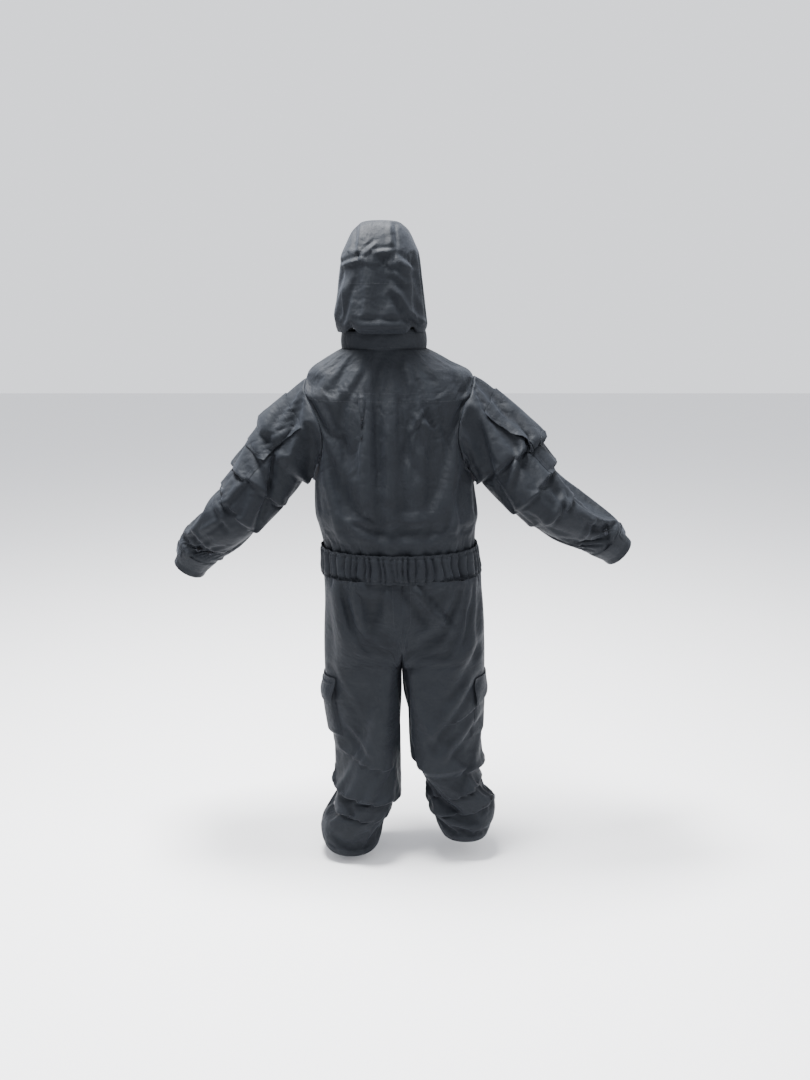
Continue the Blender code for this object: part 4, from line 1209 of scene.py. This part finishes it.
def build_closure(nodes):
    for side in SIDES:
        zip_ribbon(f"{side}_zip_tape", "torso", 0.635, 1.493, OUTWARD[side] * 0.0080, -0.002, 0.0095,
                   0.0012, TRIM, sewn=False)
    zip_ribbon("storm_flap_loop_tape", "torso", 0.692, 1.390, 0.024, 0.0030, 0.018, 0.0016, TRIM)
    zip_ribbon("storm_flap_hook_tape", "storm_flap", 0.692, 1.430, 0.024, 0.0058, 0.018, 0.0016, TRIM)
    zip_ribbon("storm_flap", "storm_flap", 0.672, 1.450, 0.0, 0.0082, 0.074, 0.0026, OUTER,
               crown=0.0012, wave=0.0012)
    zip_ribbon("throat_tab", "throat_tab", 1.459, 1.491, 0.0, 0.0082, 0.070, 0.0026, OUTER, crown=0.0010)
    for name in ("zip_teeth", "zip_slider", "zip_pull"):
        nodes[name].data.materials.clear()
        nodes[name].data.materials.append(METAL[0])


# ---------------------------------------------------------------- the hood's pieces
def build_hood(cloth):
    normals = normals_of(cloth, False)
    normals[-1] = (0.0, 0.0, 1.0)
    rows, columns = cloth.shape[:2]
    left, right = 2 * SIDE_PANEL, columns - 1 - 2 * SIDE_PANEL
    for name, c0, c1, seams in (
        ("hood_left_panel", 0, left, (3,)), ("hood_centre_panel", left, right, (3, 34)),
        ("hood_right_panel", right, columns - 1, (3,)),
    ):
        sewn = down_column(cloth, normals, 3, rows - 6, c0 + 2, c1 - 2)
        sewn += along_row(cloth, normals, c0 + 1, c1 - 1, *seams)
        cloth_piece(name, "hood", cloth, normals, region(cloth, (0, rows - 1, c0, c1)), sewn=sewn)
    lining("hood_liner", "hood", cloth[:-2], normals[:-2])

    edge = np.concatenate([cloth[:, -1][:-30], cloth[::-1, 0][30:]])
    turn = np.linspace(0, 2 * PI, 12, endpoint=False)
    way = unit(np.gradient(edge, axis=0))
    inward = unit(np.array((HOOD_MIDDLE[0], 0.0, 1.60)) - edge)
    side = unit(np.cross(way, inward))
    inward = np.cross(side, way)
    radius = np.full(len(edge), 0.0045)
    ring = tube(edge, inward, side, radius, radius, turn)
    mean = ring.mean(1)
    ring_normals = normals_of(ring, True)
    if ((ring - mean[:, None]) * ring_normals).sum() < 0:
        ring, ring_normals = ring[:, ::-1], -ring_normals[:, ::-1]
    cloth_piece("face_hem", "hood", ring, ring_normals, closed=True, thickness=0.0015)


# ---------------------------------------------------------------- the sleeves' pieces
def blended():
    """A function that bakes each piece's transform into its mesh."""
    return lambda piece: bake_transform(piece)


def sewn_flap(piece, base, body, sewn, free):
    """A flap or tab, with its transform baked into its mesh; the base and sewn edge given to it are not used.
    """
    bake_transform(piece)


POCKET_HALF = 15  # half the columns that a pocket covers


def pocket(name, cloth, normals, rows, shape, lap, flap_shape, body):
    """A pocket in the middle of the cloth, and its stitched flap a few rows above it.

    rows are the pocket's top, its flap's end and its bottom. The pocket is left to be attached.
    """
    top, flap_end, bottom = rows
    middle = cloth.shape[1] // 2
    made = raised(f"{name}_pocket", cloth, normals, (top, bottom),
                  (middle - POCKET_HALF, middle + POCKET_HALF), shape)
    cover = raised(f"{name}_flap", cloth, normals, (top - lap, flap_end),
                   (middle - POCKET_HALF - 1, middle + POCKET_HALF + 1), flap_shape)
    sewn_flap(cover, body, f"{name}_flap", cloth[top, middle], cloth[flap_end, middle])
    return made


def build_sleeve(side, cloth, spine):
    o = OUTWARD[side]
    normals = normals_of(cloth, True)
    rows, columns = cloth.shape[:2]
    at = np.linspace(0, spine.at[spine.above_cuff()][-1], rows)
    split = nearest(at, spine.bend_at - ELBOW_SEAM)
    elbow = spine.points[nearest(spine.at, spine.bend_at)] - NECK
    way, second = unit(np.array((o, 0.0, -0.10))), spine.way[-1]
    upper, lower = f"{side}_upper_sleeve", f"{side}_lower_sleeve"
    elbow = past(cloth[split - 1:split + 2], elbow, second)
    bend_upper = blended()
    bend_lower = blended()

    for name, r0, r1, bend, seam in (
        (upper, 0, split, bend_upper, 3), (lower, split, rows - 1, bend_lower, rows - 4),
    ):
        part = region(cloth, (r0, r1, 0, columns))
        sewn = down_column(cloth, normals, max(r0, 2), r1, 1, -1) + along_row(cloth, normals, 0, None, seam)
        bend(cloth_piece(name, None, cloth, normals, part, True, sewn))
        bend(lining(f"{name}_liner", None, cloth, normals, part, True))

    # The pocket on the outside of the upper arm, under its flap.
    turn = columns // 2 - out_column_of(cloth, side)
    cloth, normals = np.roll(cloth, turn, 1), np.roll(normals, turn, 1)
    pocket_rows = [nearest(at, place) for place in (0.045, 0.105, 0.175)]
    deep = ARM_POCKET[side]
    bend_upper(pocket(f"{side}_sleeve", cloth, normals, pocket_rows, bag(deep, 0.12), 2,
                      flap(deep + 0.001, 1.2 * deep, 0.3 * deep), upper))


def build_cuff(side, spine):
    """The cuff at the end of a sleeve, and its tab."""
    start = sleeve_angles(side)[0]
    angles = np.linspace(start, start - OUTWARD[side] * 2 * PI, 97)[:-1]
    share = np.linspace(0, 1, 24)
    centre = spine.points[-1] - spine.way[-1] * (CUFF_LENGTH * (1 - share))[:, None]
    across = np.interp(share, (0, 0.1, 0.7, 1), (0.0605, 0.0590, 0.0475, 0.0462))
    pucker = 1 + 0.010 * np.sin(7 * angles + 1.2) * (1 - share[:, None]) + 0.006 * np.sin(16 * angles)
    axes = (np.tile(spine.across[-1], (24, 1)), np.tile(spine.fore[-1], (24, 1)))
    grid = tube(centre, *axes, across, across * 0.98, angles)
    grid = centre[:, None] + (grid - centre[:, None]) * pucker[..., None]
    normals = normals_of(grid, True)
    cloth_piece(f"{side}_cuff", f"{side}_lower_sleeve", grid, normals, None, True,
                along_row(grid, normals, 0, None, 2, -3), thickness=0.0035)
    tab = raised(f"{side}_cuff_tab", grid, normals, (2, 11), TAB_COLUMNS,
                 lambda down, across: 0.0022 + 0.0012 * np.sin(PI * across) + 0 * down, TRIM,
                 inset=1, thickness=0.0018)
    ends = (grid[6, TAB_COLUMNS[0]], grid[6, TAB_COLUMNS[1] - 1])
    hinge = np.array(TAB_HINGE[side]) + NECK
    ends = sorted(ends, key=lambda end: np.linalg.norm(end - hinge))
    sewn_flap(tab, f"{side}_lower_sleeve", f"{side}_cuff_tab", *ends)


def out_column_of(grid, side):
    """The column that faces away from the body, above the middle of the upper arm."""
    row = grid[grid.shape[0] // 4]
    way = np.array((OUTWARD[side] * 0.9, -0.12, 0.45))
    return int(np.argmax((row - row.mean(0)) @ way))


# ---------------------------------------------------------------- the legs' pieces
THIGH_POCKET = {"left": 0.012, "right": 0.0035}  # how far each stands off


def build_leg(side, cloth):
    normals = normals_of(cloth, False)
    rows, columns = cloth.shape[:2]
    middle = columns // 2
    heights = leg_heights(side, 2 * ABOVE_CROTCH, rows - 2 * ABOVE_CROTCH)
    split = nearest(heights, KNEE_SPLIT)
    upper, lower = f"{side}_upper_leg", f"{side}_lower_leg"
    bend_upper = blended()
    bend_lower = blended()

    halves = [(0, middle), (middle, columns - 1)]
    if cloth[0, 2, 1] > 0:
        halves = halves[::-1]
    for name, (c0, c1) in zip((f"{side}_seat_panel", upper), halves):
        sewn = down_column(cloth, normals, 3, split, c0 + 2, c1 - 2)
        bend_upper(cloth_piece(name, None, cloth, normals, region(cloth, (0, split, c0, c1)), sewn=sewn))
    sewn = down_column(cloth, normals, split, rows - 3, middle - 2, middle + 2, 2, columns - 3)
    shin = region(cloth, (split, rows - 6, 0, columns))
    bend_lower(cloth_piece(lower, None, cloth, normals, shin, sewn=sewn))
    hem = region(cloth, (rows - 6, rows - 1, 0, columns))
    bend_lower(cloth_piece(f"{side}_hem_band", None, cloth, normals, hem, thickness=0.0030,
                           sewn=along_row(cloth, normals, 1, columns - 1, rows - 5)))
    for name, r0, r1, bend in ((upper, 0, split, bend_upper), (lower, split, rows - 2, bend_lower)):
        bend(lining(f"{name}_liner", None, cloth, normals, region(cloth, (r0, r1, 0, columns))))

    # The bellows pocket on the outside of the thigh, open at its top, under its flap.
    pocket_rows = [nearest(heights, height) for height in (0.540, 0.478, 0.372)]
    deep = THIGH_POCKET[side]
    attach(pocket(f"{side}_cargo", cloth, normals, pocket_rows, bag(deep, 0.09), 3,
                   flap(0.004, deep + 0.002, 0.004), upper), upper)

    # The side zip of the lower leg.
    r0, r1 = (nearest(heights, height) for height in (0.276, 0.150))
    bend_lower(raised(f"{side}_ankle_zip", cloth, normals, (r0, r1), (middle - 2, middle + 3),
                      lambda down, across: 0.0016 + 0 * down * across, TRIM, ends=False, inset=1))
    at, out = cloth[r1 - 3, middle], normals[r1 - 3, middle]
    up = unit(cloth[r1 - 6, middle] - at)
    chamfered(f"{side}_ankle_slider", at + out * 0.0045, (np.cross(up, out), up, out), (0.009, 0.014, 0.0045))


def chamfered(name, centre, axes, size):
    """A small metal block with chamfered edges, on the body of its name."""
    half = np.array(size) / 2
    cut = 0.28 * half.min()
    hull = bmesh.new()
    for corner in itertools.product((-1, 1), repeat=3):
        for axis in range(3):
            inset = (half - cut) * corner
            inset[axis] = half[axis] * corner[axis]
            hull.verts.new(centre + inset @ np.array(axes) - NECK)
    bmesh.ops.convex_hull(hull, input=hull.verts)
    mesh = bpy.data.meshes.new(name)
    hull.to_mesh(mesh)
    hull.free()
    mesh.materials.append(METAL[0])
    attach(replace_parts(add_to_scene(name, mesh), name), name)


def build_gusset():
    """The crotch strip, inside where the seams meet."""
    turn = np.radians(np.linspace(-20, 20, 15))[:, None]
    share = np.linspace(-1, 1, 9)
    radius = 0.286
    grid = xyz(-0.006 - 0.020 * share, radius * np.sin(turn), 0.880 - radius * np.cos(turn))
    normals = normals_of(grid, False)
    if normals[..., 2].mean() > 0:
        grid, normals = grid[:, ::-1], -normals[:, ::-1]
    cloth_piece("crotch_gusset", "torso", grid, normals)


# ---------------------------------------------------------------- studio
CAMERA_HEIGHT, CAMERA_DISTANCE, CAMERA_DOWN = 1.6, 2.8, 13.476  # metres, and degrees below level
FLOOR_REACH = 14.0


def area_light(name, place, target, size, power_watts):
    light = bpy.data.lights.new(name, "AREA")
    set_all(light, shape="RECTANGLE", size=size[0], size_y=size[1], energy=power_watts)
    node = add_to_scene(name, light)
    node.location = Vector(place)
    node.rotation_mode = "QUATERNION"
    node.rotation_quaternion = (Vector(target) - Vector(place)).to_track_quat("-Z", "Y")


def build_studio():
    floor = bpy.data.meshes.new("floor")
    corners = [(x * FLOOR_REACH, y * FLOOR_REACH, -NECK[2]) for x, y in ((-1, -1), (1, -1), (1, 1), (-1, 1))]
    floor.from_pydata(corners, [], [(0, 1, 2, 3)])
    floor.materials.append(Surface("pale_floor", Base_Color=(0.74, 0.74, 0.75, 1.0), Roughness=0.9).material)
    add_to_scene("floor", floor)

    world = bpy.data.worlds.new("studio")
    world.use_nodes = True
    background = world.node_tree.nodes["Background"]
    background.inputs["Color"].default_value = (0.93, 0.95, 1.0, 1.0)
    background.inputs["Strength"].default_value = 1.5
    bpy.context.scene.world = world
    area_light("overhead", (-0.4, -0.1, 2.3), (0.0, 0.0, -0.2), (1.2, 0.9), 740)
    area_light("behind_left", (-2.6, -1.6, 1.0), (0.0, 0.0, -0.4), (0.9, 1.6), 12)
    area_light("behind_right", (2.8, -1.2, 0.8), (0.0, 0.0, -0.4), (0.9, 1.6), 45)

    camera = bpy.data.cameras.new("camera")
    set_all(camera, lens=34.64, sensor_width=36.0)
    node = add_to_scene("camera", camera)
    node.location = (-NECK[0], -CAMERA_DISTANCE, CAMERA_HEIGHT - NECK[2])
    node.rotation_euler = (math.radians(90 - CAMERA_DOWN), 0.0, 0.0)
    bpy.context.scene.camera = node


# ---------------------------------------------------------------- assembly
def build_suit():
    forms = wearer()
    trunk = make_trunk_cloth()
    sleeves = {side: make_sleeve_cloth(side, trunk) for side in SIDES}
    legs = {side: make_leg_cloth(side) for side in SIDES}
    hood = make_hood_cloth()
    for form in forms:
        bpy.data.objects.remove(form)
    build_trunk(trunk)
    build_waist()
    build_collar()
    build_closure(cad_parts)
    build_hood(hood)
    build_gusset()
    for side in SIDES:
        build_sleeve(side, *sleeves[side])
        build_cuff(side, sleeves[side][1])
        build_leg(side, legs[side])


build_suit()
build_studio()
